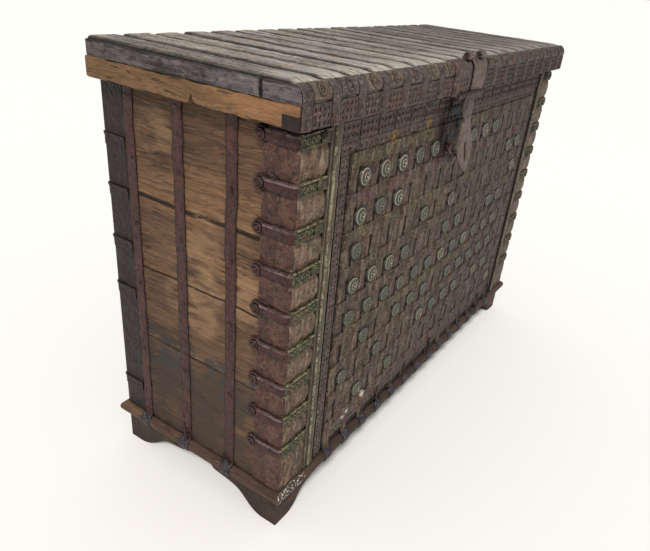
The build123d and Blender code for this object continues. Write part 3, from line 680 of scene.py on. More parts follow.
# The painted shadow round the lock, two ochre stains under the rim, and the chips of pale paint on the lattice.
LOCK = (-78.0, -219.0, 812.0)
OCHRE = ((-360.0, -219.0, 832.0), (-205.0, -219.0, 838.0))
CHIPS = ((-55.0, -221.0, 800.0), (-430.0, -221.0, 175.0), (-358.0, -221.0, 186.0), (-440.0, -221.0, 160.0))
LATTICE_IRON = ForgedIron(
    "forged_iron_lattice", "#44332a", "#5f4030", "#4e4634", "#867660", shades=("#5a3a3b", "#4b452b"), hollow_smudge_and_shade=0.75,
    shadow=LOCK, specks=0.7, ochre=OCHRE, chips=CHIPS, scoured=Grain.HAMMERED_UP, scour=0.5, dented=4.5, shade_falloff=0.45,
)  # fmt: skip
FINISHES = {
    "planks": OldTeak(
        "old_teak_planks", Grain.ALONG_Y, rubbed=0.6, streaky=0.45, seams=PLANK_SEAMS, rubs=RUBS, darker_low=True,
        shade_falloff=0.3,
    ),
    "posts": OldTeak("old_teak_posts", Grain.ALONG_Z, "#3f2e22", "#634729", "#201814"),
    "boards": OldTeak(
        "old_teak_boards", Grain.ALONG_X, "#463629", "#664e39", "#241b16", rubbed=0.5, stained=0.4, seams=BOARD_SEAMS
    ),
    "feet": OldTeak("dark_teak_feet", Grain.ALONG_X, "#33281f", "#4d3b2c", "#1a1410", "#383029"),
    "batten": OldTeak(
        "rubbed_teak_batten", Grain.ALONG_Y, "#785a3e", "#9a7652", "#3a2a1e", "#62503f", 0.6, 0.35, 0.35,
        warm=WARM, sway=5.0, shade_falloff=0.4,
    ),
    "nose_rail": OldTeak("dark_teak_rail", Grain.ALONG_X, "#352820", "#54402c", "#1d1612"),
    "deck": OldTeak(
        "weathered_teak_deck", Grain.ALONG_Y, "#615a5e", "#8a807b", "#201e22", "#686369", 0.6, 0.7, 0.3,
        joint=DECK_JOINT, flakes=0.3, shade_falloff=0.55,
    ),
    "moulding": OldTeak(
        "stained_teak_moulding", Grain.ALONG_X, "#382a25", "#534035", "#1c1614", "#373132", 0.6, 0.6, 0.4, chipped=True
    ),
    "moulding_ends": OldTeak("stained_teak_moulding_ends", Grain.ALONG_Y, "#47352c", "#6c5340", "#231a17", "#413938"),
    "lattice": LATTICE_IRON,
    # The backing sheet is painted near black, as the shade in the cracks beside the lattice's uprights.
    "sheet": ForgedIron("sheet_iron_backing", "#1d1716", "#2a1d1a", "#24211a", "#3a3430", "#0f0c0c"),
    "cells": replace(
        LATTICE_IRON, name="sheet_iron_cells", ground="#46362b", rust="#624332", olive="#514934", pale="#8b7b63",
        shades=("#513b3b", "#584f37"),
    ),
    "embossed": ForgedIron(
        "embossed_sheet_iron", "#51433e", "#64453b", "#524d3e", "#8f847b", blotch=30.0,
        shades=("#4b4243", "#5d4139"), ochre=OCHRE, shadow=LOCK, shade_falloff=0.45,
    ),
    "ridge": ForgedIron("rolled_iron_ridges", "#4b3d38", "#584339", "#48423a", "#857c78", high="#504a49", shade_falloff=0.3),
    "nose_plate": ForgedIron(
        "embossed_nose_plates", "#63524b", "#6e5144", "#504d40", "#a39a8e", blotch=22.0,
        shades=("#524d4d", "#5d5443"), shade_falloff=0.3,
    ),
    "lid_sheet": ForgedIron(
        "scoured_sheet_iron", "#93887f", "#907f71", "#7d776e", "#bfb8af", "#292524", 0.8, 0.95, 70.0,
        ("#5a5552", "#7d7671"), scoured=Grain.ALONG_Y, scour=0.65, shade_falloff=0.42,
    ),
    "straps": ForgedIron(
        "red_leaded_iron_straps", "#412826", "#543229", "#3c2d28", "#6a5852", "#1c1312", 0.7, specks=0.2
    ),
    # Its second shade is a painted highlight along the upper rims of the bands' side ends.
    "side_band": ForgedIron(
        "maroon_iron_bands", "#3c2320", "#4a2c26", "#372927", "#8a7d80", "#191111", 0.9,
        shades=("#3c2320", "#766664"), specks=0.08, roughness=0.45,
    ),
    "side_plate": ForgedIron(
        "worn_iron_side_plates", "#47302a", "#583a30", "#473931", "#8a776c", "#1a1313", specks=0.3, rubbed_at=-199.0
    ),
    "front_plate": ForgedIron(
        "worn_iron_front_plates", "#70594a", "#75533f", "#5c5844", "#988c78", "#221b17",
        scoured=Grain.HAMMERED_UP, scour=0.4, dented=3.5, shade_falloff=0.3, low="#452d24",
    ),
    "back_iron": ForgedIron("sooty_iron_back", "#241c1b", "#2f221e", "#27221f", "#463d3c", "#181313", specks=0.3),
    "hasp": ForgedIron(
        "handled_iron_hasp", "#615148", "#624a3f", "#564c41", "#94877c", "#262020", 0.85, 0.75, 34.0,
        roughness=0.45, metallic=0.2, pitted=0.4, specks=0.35,
    ),
    "clips": ForgedIron("blued_iron_clips", "#33323a", "#3f3434", "#383a3d", "#6f6f7a", "#161518"),
    "green_band": RubbedPaint("green_painted_bands"),
    "green_strip": RubbedPaint(
        "green_painted_strips", "#4a4939", "#78745a", "#52463a", "#8f8a70", 0.45, 0.85, (1.0, 1.0, 7.0)
    ),
    "brass": OldBrass("patinated_brass"),
}  # fmt: skip
MATERIALS: dict[str, bpy.types.Material] = {}


def finish(name: str) -> bpy.types.Material:
    """The material of a finish, made once."""
    if name not in MATERIALS:
        MATERIALS[name] = FINISHES[name].make()
    return MATERIALS[name]


# Making pieces


def keep(
    name: str,
    bm: BMesh,
    finishes: Sequence[str],
    body: str,
    replaces: Sequence[str] = (),
    crease: float = 38.0,
) -> None:
    """Turns a finished bmesh into a piece of the chest.

    Args:
        name: The piece's name.
        bm: Its mesh, in metres and in place. It is freed.
        finishes: Its finishes, in the order of its faces' material numbers.
        body: The CAD body that it moves with.
        replaces: CAD nodes that it stands for.
        crease: Angle in degrees above which an edge stays sharp.
    """
    bmesh.ops.recalc_face_normals(bm, faces=bm.faces)
    mesh = mesh_of(bm, name)
    mesh.polygons.foreach_set("use_smooth", [True] * len(mesh.polygons))
    mesh.set_sharp_from_angle(angle=math.radians(crease))
    for name_of_finish in finishes:
        mesh.materials.append(finish(name_of_finish))
    piece = bpy.data.objects.new(name, mesh)
    bpy.context.scene.collection.objects.link(piece)
    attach(piece, body)
    if replaces:
        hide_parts(*replaces)
    LOG.info("%s: %d faces, rides on %s", name, len(mesh.polygons), body)


def dress(finish_name: str, *nodes: str) -> None:
    """Gives CAD nodes a finish.

    Args:
        finish_name: The finish.
        nodes: The nodes' names.
    """
    for node in nodes:
        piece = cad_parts[node]
        if not piece.material_slots:
            piece.data.materials.append(finish(finish_name))
        for own in piece.material_slots:
            own.material = finish(finish_name)
        LOG.info("%s: dressed as %s", node, finish_name)


def mesh_of(bm: BMesh, name: str) -> bpy.types.Mesh:
    """Writes a bmesh to a new mesh and frees it."""
    mesh = bpy.data.meshes.new(name)
    bm.to_mesh(mesh)
    bm.free()
    return mesh


def marks_of(bm: BMesh) -> tuple[bmesh.types.BMLayerItem, bmesh.types.BMLayerItem]:
    """The mesh layers for each point's own shade and its dirt and painted shade, made where they are missing."""
    layers = bm.verts.layers.float
    for name in ("shade", "smudge_and_shade"):
        if not layers.get(name):
            layers.new(name)
    return layers["shade"], layers["smudge_and_shade"]


def second_finish(bm: BMesh, chosen: Callable[[Vector], bool]) -> None:
    """Gives the second finish of a piece to the faces whose middle, in millimetres, is chosen."""
    for face in bm.faces:
        if chosen(face.calc_center_median() / MM):
            face.material_index = 1


def relief(
    bm: BMesh,
    size: tuple[float, float],
    cell: float,
    lift: Lift,
    place: Place,
    shade: float | Lift = 0.5,
    number: int = 0,
    lip: float = 0.4,
    smudge_and_shade: Lift | None = None,
) -> None:
    """Adds one closed sheet of worked metal, whose face rises over its bed as a height function says.

    Args:
        bm: The mesh to add to.
        size: Width and height of the sheet in millimetres.
        cell: Spacing of its mesh in millimetres.
        lift: Height of the face over the bed at a point of the sheet, in millimetres.
        place: Where a point of the sheet at a height over the bed lies.
        shade: The piece's own shade, from 0 to 1, or a function that gives it at a point of the sheet.
        number: Number of its finish.
        lip: Width of its sheared edge in millimetres.
        smudge_and_shade: How much dirt and painted shade darken the face at a point of the sheet, from 0 to 1.
    """
    counts = [max(3, round(extent / cell) + 1) for extent in size]
    own, smudge_and_shade_layer = marks_of(bm)
    made = bmesh.ops.create_grid(bm, x_segments=counts[0], y_segments=counts[1], size=0.5)["verts"]
    for vert in made:
        spot, rim = [], False
        for value, count, extent in zip(vert.co[:2], counts, size):
            index = round((value + 0.5) * count)
            inner = (index - 1) / (count - 2)
            rim = rim or index in (0, count)
            spot.append(0.0 if index == 0 else extent if index == count else lip + inner * (extent - 2 * lip))
        vert.co = place(*spot, 0.0 if rim else lift(*spot))
        vert[own] = shade(*spot) if callable(shade) else shade
        vert[smudge_and_shade_layer] = smudge_and_shade(*spot) if smudge_and_shade else 0.0
    border = [edge for edge in {e for v in made for e in v.link_edges} if edge.is_boundary]
    backs = bmesh.ops.holes_fill(bm, edges=border, sides=0)["faces"]
    for face in {f for v in made for f in v.link_faces} | set(backs):
        face.material_index = number


def spin_round(bm: BMesh, steps: int) -> None:
    """Spins all of a mesh once round the Z axis, in a number of steps, and welds the seam."""
    bmesh.ops.spin(
        bm, geom=[*bm.verts, *bm.edges], cent=(0, 0, 0), axis=(0, 0, 1), dvec=(0, 0, 0), angle=2 * math.pi,
        steps=steps, space=Matrix.Identity(4), use_merge=True, use_normal_flip=False, use_duplicate=False,
    )  # fmt: skip
    bmesh.ops.remove_doubles(bm, verts=bm.verts, dist=WELD)


def turned_profile(profile: Profile, steps: int, lobes: int = 0, depth: float = 0.0) -> bpy.types.Mesh:
    """Spins a profile into a closed knob that stands on the origin and points up.

    Args:
        profile: Radius and height in millimetres, and where given how much dirt and painted shade darken it, from
                the crown out to the foot.
        steps: Steps round the knob.
        lobes: Petals cut into its rim.
        depth: How deep they are cut, as a share of the radius.

    Returns:
        The knob's mesh.
    """
    bm = bmesh.new()
    _, smudge_and_shade_layer = marks_of(bm)
    verts = [bm.verts.new((radius * MM, 0.0, height * MM)) for radius, height, *_ in profile]
    for vert, (_, _, *smudge_and_shade) in zip(verts, profile):
        vert[smudge_and_shade_layer] = sum(smudge_and_shade)
    for pair in zip(verts, verts[1:]):
        bm.edges.new(pair)
    spin_round(bm, steps)
    widest = max(point[0] for point in profile) * MM
    for vert in bm.verts:
        if lobes and vert.co.xy.length > 0.7 * widest:
            around = math.atan2(vert.co.y, vert.co.x)
            vert.co.xy *= 1 - depth * (0.5 - 0.5 * math.cos(lobes * around))
    bmesh.ops.holes_fill(bm, edges=[e for e in bm.edges if e.is_boundary], sides=0)
    return mesh_of(bm, "knob")


def stand(bm: BMesh, knob: bpy.types.Mesh, place: Matrix, shade: float = 0.5) -> None:
    """Adds a copy of a knob.

    Args:
        bm: The mesh to add to.
        knob: The knob's mesh.
        place: Where it stands, with its turn.
        shade: Its own shade, from 0 to 1.
    """
    own, _ = marks_of(bm)
    before = len(bm.verts)
    bm.from_mesh(knob)
    bm.verts.ensure_lookup_table()
    for vert in bm.verts[before:]:
        vert.co = place @ vert.co
        vert[own] = shade


def softened(
    node: str,
    radius: float,
    dents: float = 0.0,
    slices: float = 0.0,
    wear: Callable[[Vector], Vector] | None = None,
) -> BMesh:
    """Copies a CAD node's mesh with its hard edges worn round.

    Args:
        node: The node's name.
        radius: Radius of the wear in millimetres.
        dents: Depth of unevenness in millimetres.
        slices: Spacing of cuts across Y in millimetres, which let its long edges bend, or 0 for none.
        wear: How a point moves, in millimetres, by its place.

    Returns:
        The copy, in place.
    """
    bm = bmesh.new()
    bm.from_mesh(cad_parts[node].data)
    bmesh.ops.remove_doubles(bm, verts=bm.verts, dist=2 * WELD)
    bmesh.ops.dissolve_limit(
        bm, angle_limit=math.radians(0.6), use_dissolve_boundaries=False, verts=bm.verts, edges=bm.edges
    )
    hard = [e for e in bm.edges if len(e.link_faces) == 2 and e.calc_face_angle(0.0) > math.radians(40)]
    bmesh.ops.bevel(
        bm, geom=hard, offset=radius * MM, offset_type="OFFSET", affect="EDGES", segments=2, profile=0.5,
        material=-1, clamp_overlap=True,
    )  # fmt: skip
    if slices:
        box = box_mm(node)
        for number in range(1, int(box.size[1] / slices)):
            whole = [*bm.verts, *bm.edges, *bm.faces]
            cut = (0, (box.low.y + number * slices) * MM, 0)
            bmesh.ops.bisect_plane(bm, geom=whole, plane_co=cut, plane_no=(0, 1, 0), dist=WELD)
    for vert in bm.verts:
        spot = vert.co / MM
        vert.co += vert.normal * dents * MM * noise.noise(spot / 17.0)
        vert.co += wear(spot) * MM if wear else Vector()
    return bm


class Side(Enum):
    """An upright face of the chest, by the way out of it."""

    FRONT = (0, -1, 0)
    LEFT = (-1, 0, 0)
    RIGHT = (1, 0, 0)

    def at(self, across: float, height: float, out: float) -> Vector:
        """A point by its place across the face, its height and how far out of the wood it is.

        Args:
            across: Place along the face in millimetres, as the X or Y of the chest.
            height: Height over the floor.
            out: Distance out of the wood.

        Returns:
            The point in metres.
        """
        if self is Side.FRONT:
            return Vector((across, WOOD.low.y - out, height)) * MM
        if self is Side.LEFT:
            return Vector((WOOD.low.x - out, across, height)) * MM
        return Vector((WOOD.high.x + out, across, height)) * MM

    def stance(self, across: float, height: float, out: float, spin: float = 0.0) -> Matrix:
        """The place of a knob that points out of the face, turned about itself."""
        turn = Vector((0, 0, 1)).rotation_difference(Vector(self.value)).to_matrix().to_4x4()
        return Matrix.Translation(self.at(across, height, out)) @ turn @ Matrix.Rotation(spin, 4, "Z")


def stand_on(node: str, knob: bpy.types.Mesh, out: float, front: bool = False) -> BMesh:
    """Stands a knob in the place of each solid of a CAD node.

    Args:
        node: The node's name.
        knob: The knob's mesh.
        out: How far out of the wood the knobs stand, in millimetres.
        front: Whether they are on the front, and not on the two ends.

    Returns:
        The knobs' mesh.
    """
    bm = bmesh.new()
    for spot in (box.middle for box in solids_of(node)):
        if front:
            stand(bm, knob, Side.FRONT.stance(spot.x, spot.z, out))
        else:
            stand(bm, knob, (Side.LEFT if spot.x < 0 else Side.RIGHT).stance(spot.y, spot.z, out))
    return bm


# The chest's sub-assemblies


@dataclass
class Woodwork:
    """The carcass's teak: walls, posts, floor, feet and base mouldings, whose CAD shapes are right as they are."""

    finishes: dict[str, tuple[str, ...]] = field(
        default_factory=lambda: {
            "planks": ("end_planks_left", "end_planks_right"),
            "posts": ("corner_posts",),
            "boards": ("front_wall_boards", "back_wall_boards", "floor_boards"),
            "feet": ("foot_front_left", "foot_front_right", "foot_back_left", "foot_back_right"),
            "moulding": ("base_moulding_front", "base_moulding_back"),
            "moulding_ends": ("base_moulding_left", "base_moulding_right"),
        }
    )

    def build(self) -> None:
        """Dresses every wooden node of the carcass."""
        for finish_name, nodes in self.finishes.items():
            dress(finish_name, *nodes)


@dataclass
class ClippedStrap:
    """An upright strap of hammered iron that runs down a wall and is bent round the base moulding.

    Bed is how far out of the wood it lies, and meets is the angle on the moulding at which its bend begins.
    """

    width: float = 27.0
    thick: float = 3.0
    top: float = 820.0
    bed: float = 0.0
    cell: float = 4.5
    crown: float = 0.9
    meets: float = math.radians(78)

    def add(self, bm: BMesh, side: Side, across: float, shade: float, seed: float) -> None:
        """Adds one strap.

        Args:
            bm: The mesh to add to.
            side: The wall that it is on.
            across: Place of its middle along the wall.
            shade: Its own shade.
            seed: Number that makes its unevenness its own.
        """
        reach = MOULDING.size[2] / 2
        fall = self.top - MOULDING.high.z - self.thick

        def place(a: float, b: float, lift: float) -> Vector:
            """Runs down the wall and round the moulding."""
            sway = 2.8 * rough(b, 0, 42, seed) + 0.4 * rough(b, a, 14, seed)
            spot = across - self.width / 2 + a + sway
            if b <= fall:
                return side.at(spot, self.top - b, self.bed + lift)
            angle, arm = self.meets - (b - fall) / reach, reach + lift
            return side.at(spot, MOULDING.low.z + reach + arm * math.sin(angle), arm * math.cos(angle))

        def lift(a: float, b: float) -> float:
            """A crowned and hammered face."""
            return self.thick - 0.5 + self.crown * crowned(a, self.width) + 0.9 * rough(a, b, 12, seed)

        def smudge_and_shade(a: float, b: float) -> float:
            """Dirt along both edges, and a painted shadow that makes the right one darkest."""
            return 0.75 * ease(a, self.width - 4.5, self.width) + 0.35 * fade(a, 0, 3)

        length = fall + reach * (self.meets + math.pi / 2)
        relief(bm, (self.width, length), self.cell, lift, place, shade, smudge_and_shade=smudge_and_shade)


@dataclass
class Lattice:
    """The lattice of straps on the front, its backing sheet, its cell plates and its brass studs.

    The studs of the first column have slipped to the left and down, and those to the left of and above the last
    place are the brightest.
    """

    bed: float = 2.0
    bar_cell: float = 3.2
    swell: float = 20.0
    crack: float = 9.0
    plate_thick: float = 2.2
    stud: float = 20.0
    foot: tuple[float, float] = (133.0, 160.0)
    foot_dots: int = 62
    slipped: tuple[float, float] = (3.0, 9.0)
    bright_from: tuple[float, float] = (-250.0, 560.0)
    stud_profile: Profile = (
        (0.0, 10.6, 0.0), (1.6, 10.2, 0.0), (2.6, 9.0, 0.6), (4.8, 7.0, 0.9), (6.8, 7.6, 0.6), (7.6, 8.8, 0.0),
        (8.3, 8.8, 0.0), (9.0, 7.6, 0.6), (11.0, 6.2, 0.8), (12.6, 6.0, 0.5), (14.6, 5.4, 0.8), (16.0, 5.4, 0.6),
        (16.8, 6.4, 0.0), (17.6, 6.2, 0.0), (18.4, 4.6, 0.7), (20.0, 0.0, 1.0),
    )  # fmt: skip

    def build(self) -> None:
        """Builds the lattice and its studs."""
        dress("sheet", "lattice_sheet")
        self.uprights()
        self.crossbars()
        self.plates()
        self.foot_strip()
        self.studs()

    def columns(self) -> list[float]:
        """Middles of the upright straps."""
        return [upright.low.x + upright.size[0] / 2 for upright in solids_of("lattice_uprights")]

    def rows(self) -> list[float]:
        """Middles of the crossbars, from the bottom up."""
        return sorted(bar.low.z + bar.size[2] / 2 for bar in solids_of("lattice_crossbars"))

    def wander(self, height: float, column: float) -> float:
        """How far the crack beside an upright strays.

        Args:
            height: Height of the spot.
            column: Middle of the upright.

        Returns:
            The distance to the right.
        """
        return 2.6 * rough(height, 0, 34, column) + 1.2 * rough(height, 0, 12, column + 7)

    def uprights(self) -> None:
        """The upright straps with their clips."""
        strap = ClippedStrap(top=box_mm("lattice_uprights").high.z, bed=self.bed)
        bm = bmesh.new()
        for number, across in enumerate(self.columns()):
            strap.add(bm, Side.FRONT, across, random.random(), number)
        second_finish(bm, lambda middle: middle.z < MOULDING.high.z + 1)
        keep("lattice_uprights_hammered", bm, ("lattice", "clips"), "carcass", ("lattice_uprights",))

    def crossbars(self) -> None:
        """The crossbars, which swell and rise where they cross the uprights."""
        columns = self.columns()
        bm = bmesh.new()
        for number, bar in enumerate(solids_of("lattice_crossbars")):
            left, bottom, width, height = bar.face
            middle = bar.middle.z

            def nearness(a: float) -> float:
                """How near a point along the bar is to a crossing."""
                return fade(min(abs(left + a - column) for column in columns), self.swell * 0.55, self.swell)

            def place(a: float, b: float, lift: float) -> Vector:
                """Sets the bar across the sheet."""
                spread = 0.94 + 0.13 * nearness(a)
                sway = 1.4 * rough(a, 0, 70, number) + 0.5 * rough(a, b, 13, number)
                return Side.FRONT.at(left + a, middle + (b - height / 2) * spread + sway, self.bed + lift)

            def lift(a: float, b: float) -> float:
                """Thin between the crossings and humped over the uprights."""
                return 2.4 + 3.4 * nearness(a) + 0.8 * crowned(b, height) + 0.8 * rough(a, b, 11, number + 40)

            def smudge_and_shade(a: float, b: float) -> float:
                """The painted shadow line that follows each upright's right edge across the bar."""
                column = max((column for column in columns if left + a > column), default=left - 99)
                return 0.95 * about(left + a - column, 18.0 + self.wander(bottom + b, column), 2.0, 5.0)

            relief(bm, (width, height), self.bar_cell, lift, place, random.random(), smudge_and_shade=smudge_and_shade)
        keep("lattice_crossbars_hammered", bm, ("lattice",), "carcass", ("lattice_crossbars",))

    def plates(self) -> None:
        """The thin plates that fill the cells up to a dark crack beside each upright."""
        columns, rows = self.columns(), self.rows()
        sheet = box_mm("lattice_sheet")
        half = ClippedStrap.width / 2
        sides = [sheet.low.x + 1, *columns, sheet.high.x - 1]
        levels = [self.foot[1] - half, *rows, sheet.high.z + half - 1]
        taken = [stud.middle for stud in solids_of("stud_rosettes")]
        bm = bmesh.new()
        for left, right in zip(sides, sides[1:]):
            for lower, upper in zip(levels, levels[1:]):
                seed = random.random()
                x = left + (half + self.crack if left in columns else 0)
                z = lower + half - 1.0
                size = (right - (half if right in columns else 0) + 0.5 - x, upper - half + 1.0 - z)
                middle = (size[0] / 2 - self.crack / 2, size[1] / 2)
                held = any(math.hypot(spot.x - x - middle[0], spot.z - z - middle[1]) < 12 for spot in taken)

                def place(a: float, b: float, lift: float) -> Vector:
                    """Sets the plate in its cell, with a wavering edge along the crack."""
                    return Side.FRONT.at(x + a + self.wander(z + b, left), z + b, self.bed + lift)

                def lift(a: float, b: float) -> float:
                    """A flat plate, pillowed and dented."""
                    return self.plate_thick + 1.1 * rough(a, b, 15, seed * 50)

                def smudge_and_shade(a: float, b: float) -> float:
                    """A painted shadow round a stud, or dirt in the hole and the print that a lost one left."""
                    gap = dot_gap(a, b, [middle])
                    if held:
                        return 0.85 * fade(gap, self.stud + 1, self.stud + 6)
                    mark = 0.35 * about(gap, self.stud - 2, 1.0, 3.5)
                    return max(0.9 * fade(gap, 2.0, 3.6), mark if seed > 0.4 else 0.0)

                relief(bm, size, 4.0, lift, place, seed, smudge_and_shade=smudge_and_shade)
        keep("lattice_cell_plates", bm, ("cells",), "carcass")

    def foot_strip(self) -> None:
        """The strip with a row of dots that runs below the lattice, behind the uprights."""
        sheet = box_mm("lattice_sheet")
        width, height = sheet.size[0] - 2, self.foot[1] - self.foot[0]

        def gap(a: float, b: float) -> float:
            """Distance to the nearest dot."""
            return row_gap(a, b, width / self.foot_dots, height / 2)

        def place(a: float, b: float, lift: float) -> Vector:
            """Sets the strip on the sheet."""
            return Side.FRONT.at(sheet.low.x + 1 + a, self.foot[0] + b, self.bed + lift)

        def lift(a: float, b: float) -> float:
            """Dots in a flat sheet."""
            return 2.0 + crater(gap(a, b)) + 0.5 * rough(a, b, 20, 2)

        def smudge_and_shade(a: float, b: float) -> float:
            """Dirt and painted shade in the dots."""
            return pit_smudge_and_shade(gap(a, b))

        bm = bmesh.new()
        relief(bm, (width, height), 1.7, lift, place, 0.4, smudge_and_shade=smudge_and_shade)
        keep("lattice_foot_strip", bm, ("embossed",), "carcass")

    def studs(self) -> None:
        """The ringed brass studs, each a little askew on its own sheet."""
        knob = turned_profile(self.stud_profile, 24, 12, 0.05)
        first = self.columns()[0] + 4
        bm = bmesh.new()
        for box in solids_of("stud_rosettes"):
            middle = box.middle
            left, down = self.slipped if middle.x < first else (0.0, 0.0)
            height = middle.z - down + random.uniform(-2, 2)
            place = Side.FRONT.stance(middle.x - left, height, self.bed, random.uniform(0, 6.28))
            lean = Matrix.Rotation(random.uniform(-0.03, 0.03), 4, "X")
            size = Matrix.Diagonal((0.98, 0.98, random.uniform(0.9, 1.0), 1.0))
            kept = middle.x < self.bright_from[0] and middle.z > self.bright_from[1]
            bright = random.random() * (1.0 if kept else 0.45)
            stand(bm, knob, place @ lean @ size, bright)
        keep("brass_studs", bm, ("brass",), "carcass", ("stud_rosettes",), 50)


@dataclass
class PunchedSheets:
    """The header plates, the ledge and the side strips, with their punched dots."""

    thick: float = 2.0
    header_rows: tuple[float, ...] = (0.3, 0.68)
    ledge_dots: int = 58
    strip_dots: int = 54
    strip_columns: tuple[float, ...] = (0.3, 0.7)

    def build(self) -> None:
        """Builds the three punched pieces."""
        self.header()
        self.ledge()
        self.strips()

    def header(self) -> None:
        """The plates under the rim, each with two rows of dots in a beaded border."""
        bm = bmesh.new()
        inner = abs(solids_of("post_strips")[0].high.x)
        squeeze = inner / abs(box_mm("header_plates").low.x)
        for plate in solids_of("header_plates"):
            left, bottom = plate.low.x * squeeze, plate.low.z
            width, height = plate.size[0] * squeeze, plate.size[2]
            dots = dots_on(width, height, self.header_rows, 0.7, 4.4)
            seed = random.random()

            def place(a: float, b: float, lift: float) -> Vector:
                """Sets the plate under the rim."""
                return Side.FRONT.at(left + a, bottom + b + 0.8 * rough(a, left, 22, 4), lift)

            def lift(a: float, b: float) -> float:
                """Dots and a raised border."""
                rim = 1.2 * about(inset(a, b, width, height), 3.5, 0.8, 2.2)
                return self.thick + crater(dot_gap(a, b, dots)) + rim + 0.5 * rough(a, b, 12, seed * 90)

            def smudge_and_shade(a: float, b: float) -> float:
                """Dirt and painted shade in the dots, and dirt along the joints."""
                return max(pit_smudge_and_shade(dot_gap(a, b, dots)), 0.85 * fade(inset(a, b, width, height), 0.5, 2.2))

            relief(bm, (width, height), 1.5, lift, place, seed, smudge_and_shade=smudge_and_shade)
        keep("header_plates_embossed", bm, ("embossed",), "carcass", ("header_plates",))

    def ledge(self) -> None:
        """The ledge under the header plates, with one row of dots."""
        left, bottom, width, height = box_mm("header_ledge").face

        def place(a: float, b: float, lift: float) -> Vector:
            """Sets the ledge on the front."""
            return Side.FRONT.at(left + a, bottom + b, lift)

        def gap(a: float, b: float) -> float:
            """Distance to the nearest dot."""
            return row_gap(a, b, width / self.ledge_dots, height * 0.45)

        def lift(a: float, b: float) -> float:
            """A row of dots in a wavy sheet."""
            rim = 0.9 * ease(b, height - 5, height - 1)
            return self.thick + crater(gap(a, b)) + 0.7 * rough(a, b, 30, 3) - rim

        def smudge_and_shade(a: float, b: float) -> float:
            """Dirt and painted shade in the dots, and dirt along both edges."""
            return max(pit_smudge_and_shade(gap(a, b)), 0.8 * ease(b, height - 4, height), 0.7 * fade(b, 0, 2.5))

        bm = bmesh.new()
        relief(bm, (width, height), 1.6, lift, place, 0.4, smudge_and_shade=smudge_and_shade)
        keep("header_ledge_punched", bm, ("embossed",), "carcass", ("header_ledge",))

    def strips(self) -> None:
        """The strips beside the lattice, with two columns of pits."""
        bm = bmesh.new()
        for strip in solids_of("punched_strips"):
            left, bottom, width, height = strip.face

            def place(a: float, b: float, lift: float) -> Vector:
                """Sets the strip beside the lattice."""
                return Side.FRONT.at(left + a + 0.5 * rough(b, 0, 40, 5), bottom + b, lift)

            def gap(a: float, b: float) -> float:
                """Distance to the nearest dot."""
                return min(row_gap(b, a, height / self.strip_dots, width * share) for share in self.strip_columns)

            def lift(a: float, b: float) -> float:
                """Two columns of dots."""
                return self.thick + 0.5 + crater(gap(a, b)) + 0.5 * rough(a, b, 20, 8)

            def smudge_and_shade(a: float, b: float) -> float:
                """Dirt and painted shade in the dots, and dirt along both edges."""
                return max(pit_smudge_and_shade(gap(a, b)), 0.9 * fade(min(a, width - a), 0.5, 3.0))

            relief(bm, (width, height), 1.6, lift, place, 0.3, smudge_and_shade=smudge_and_shade)
        keep("punched_strips_pitted", bm, ("embossed",), "carcass", ("punched_strips",))


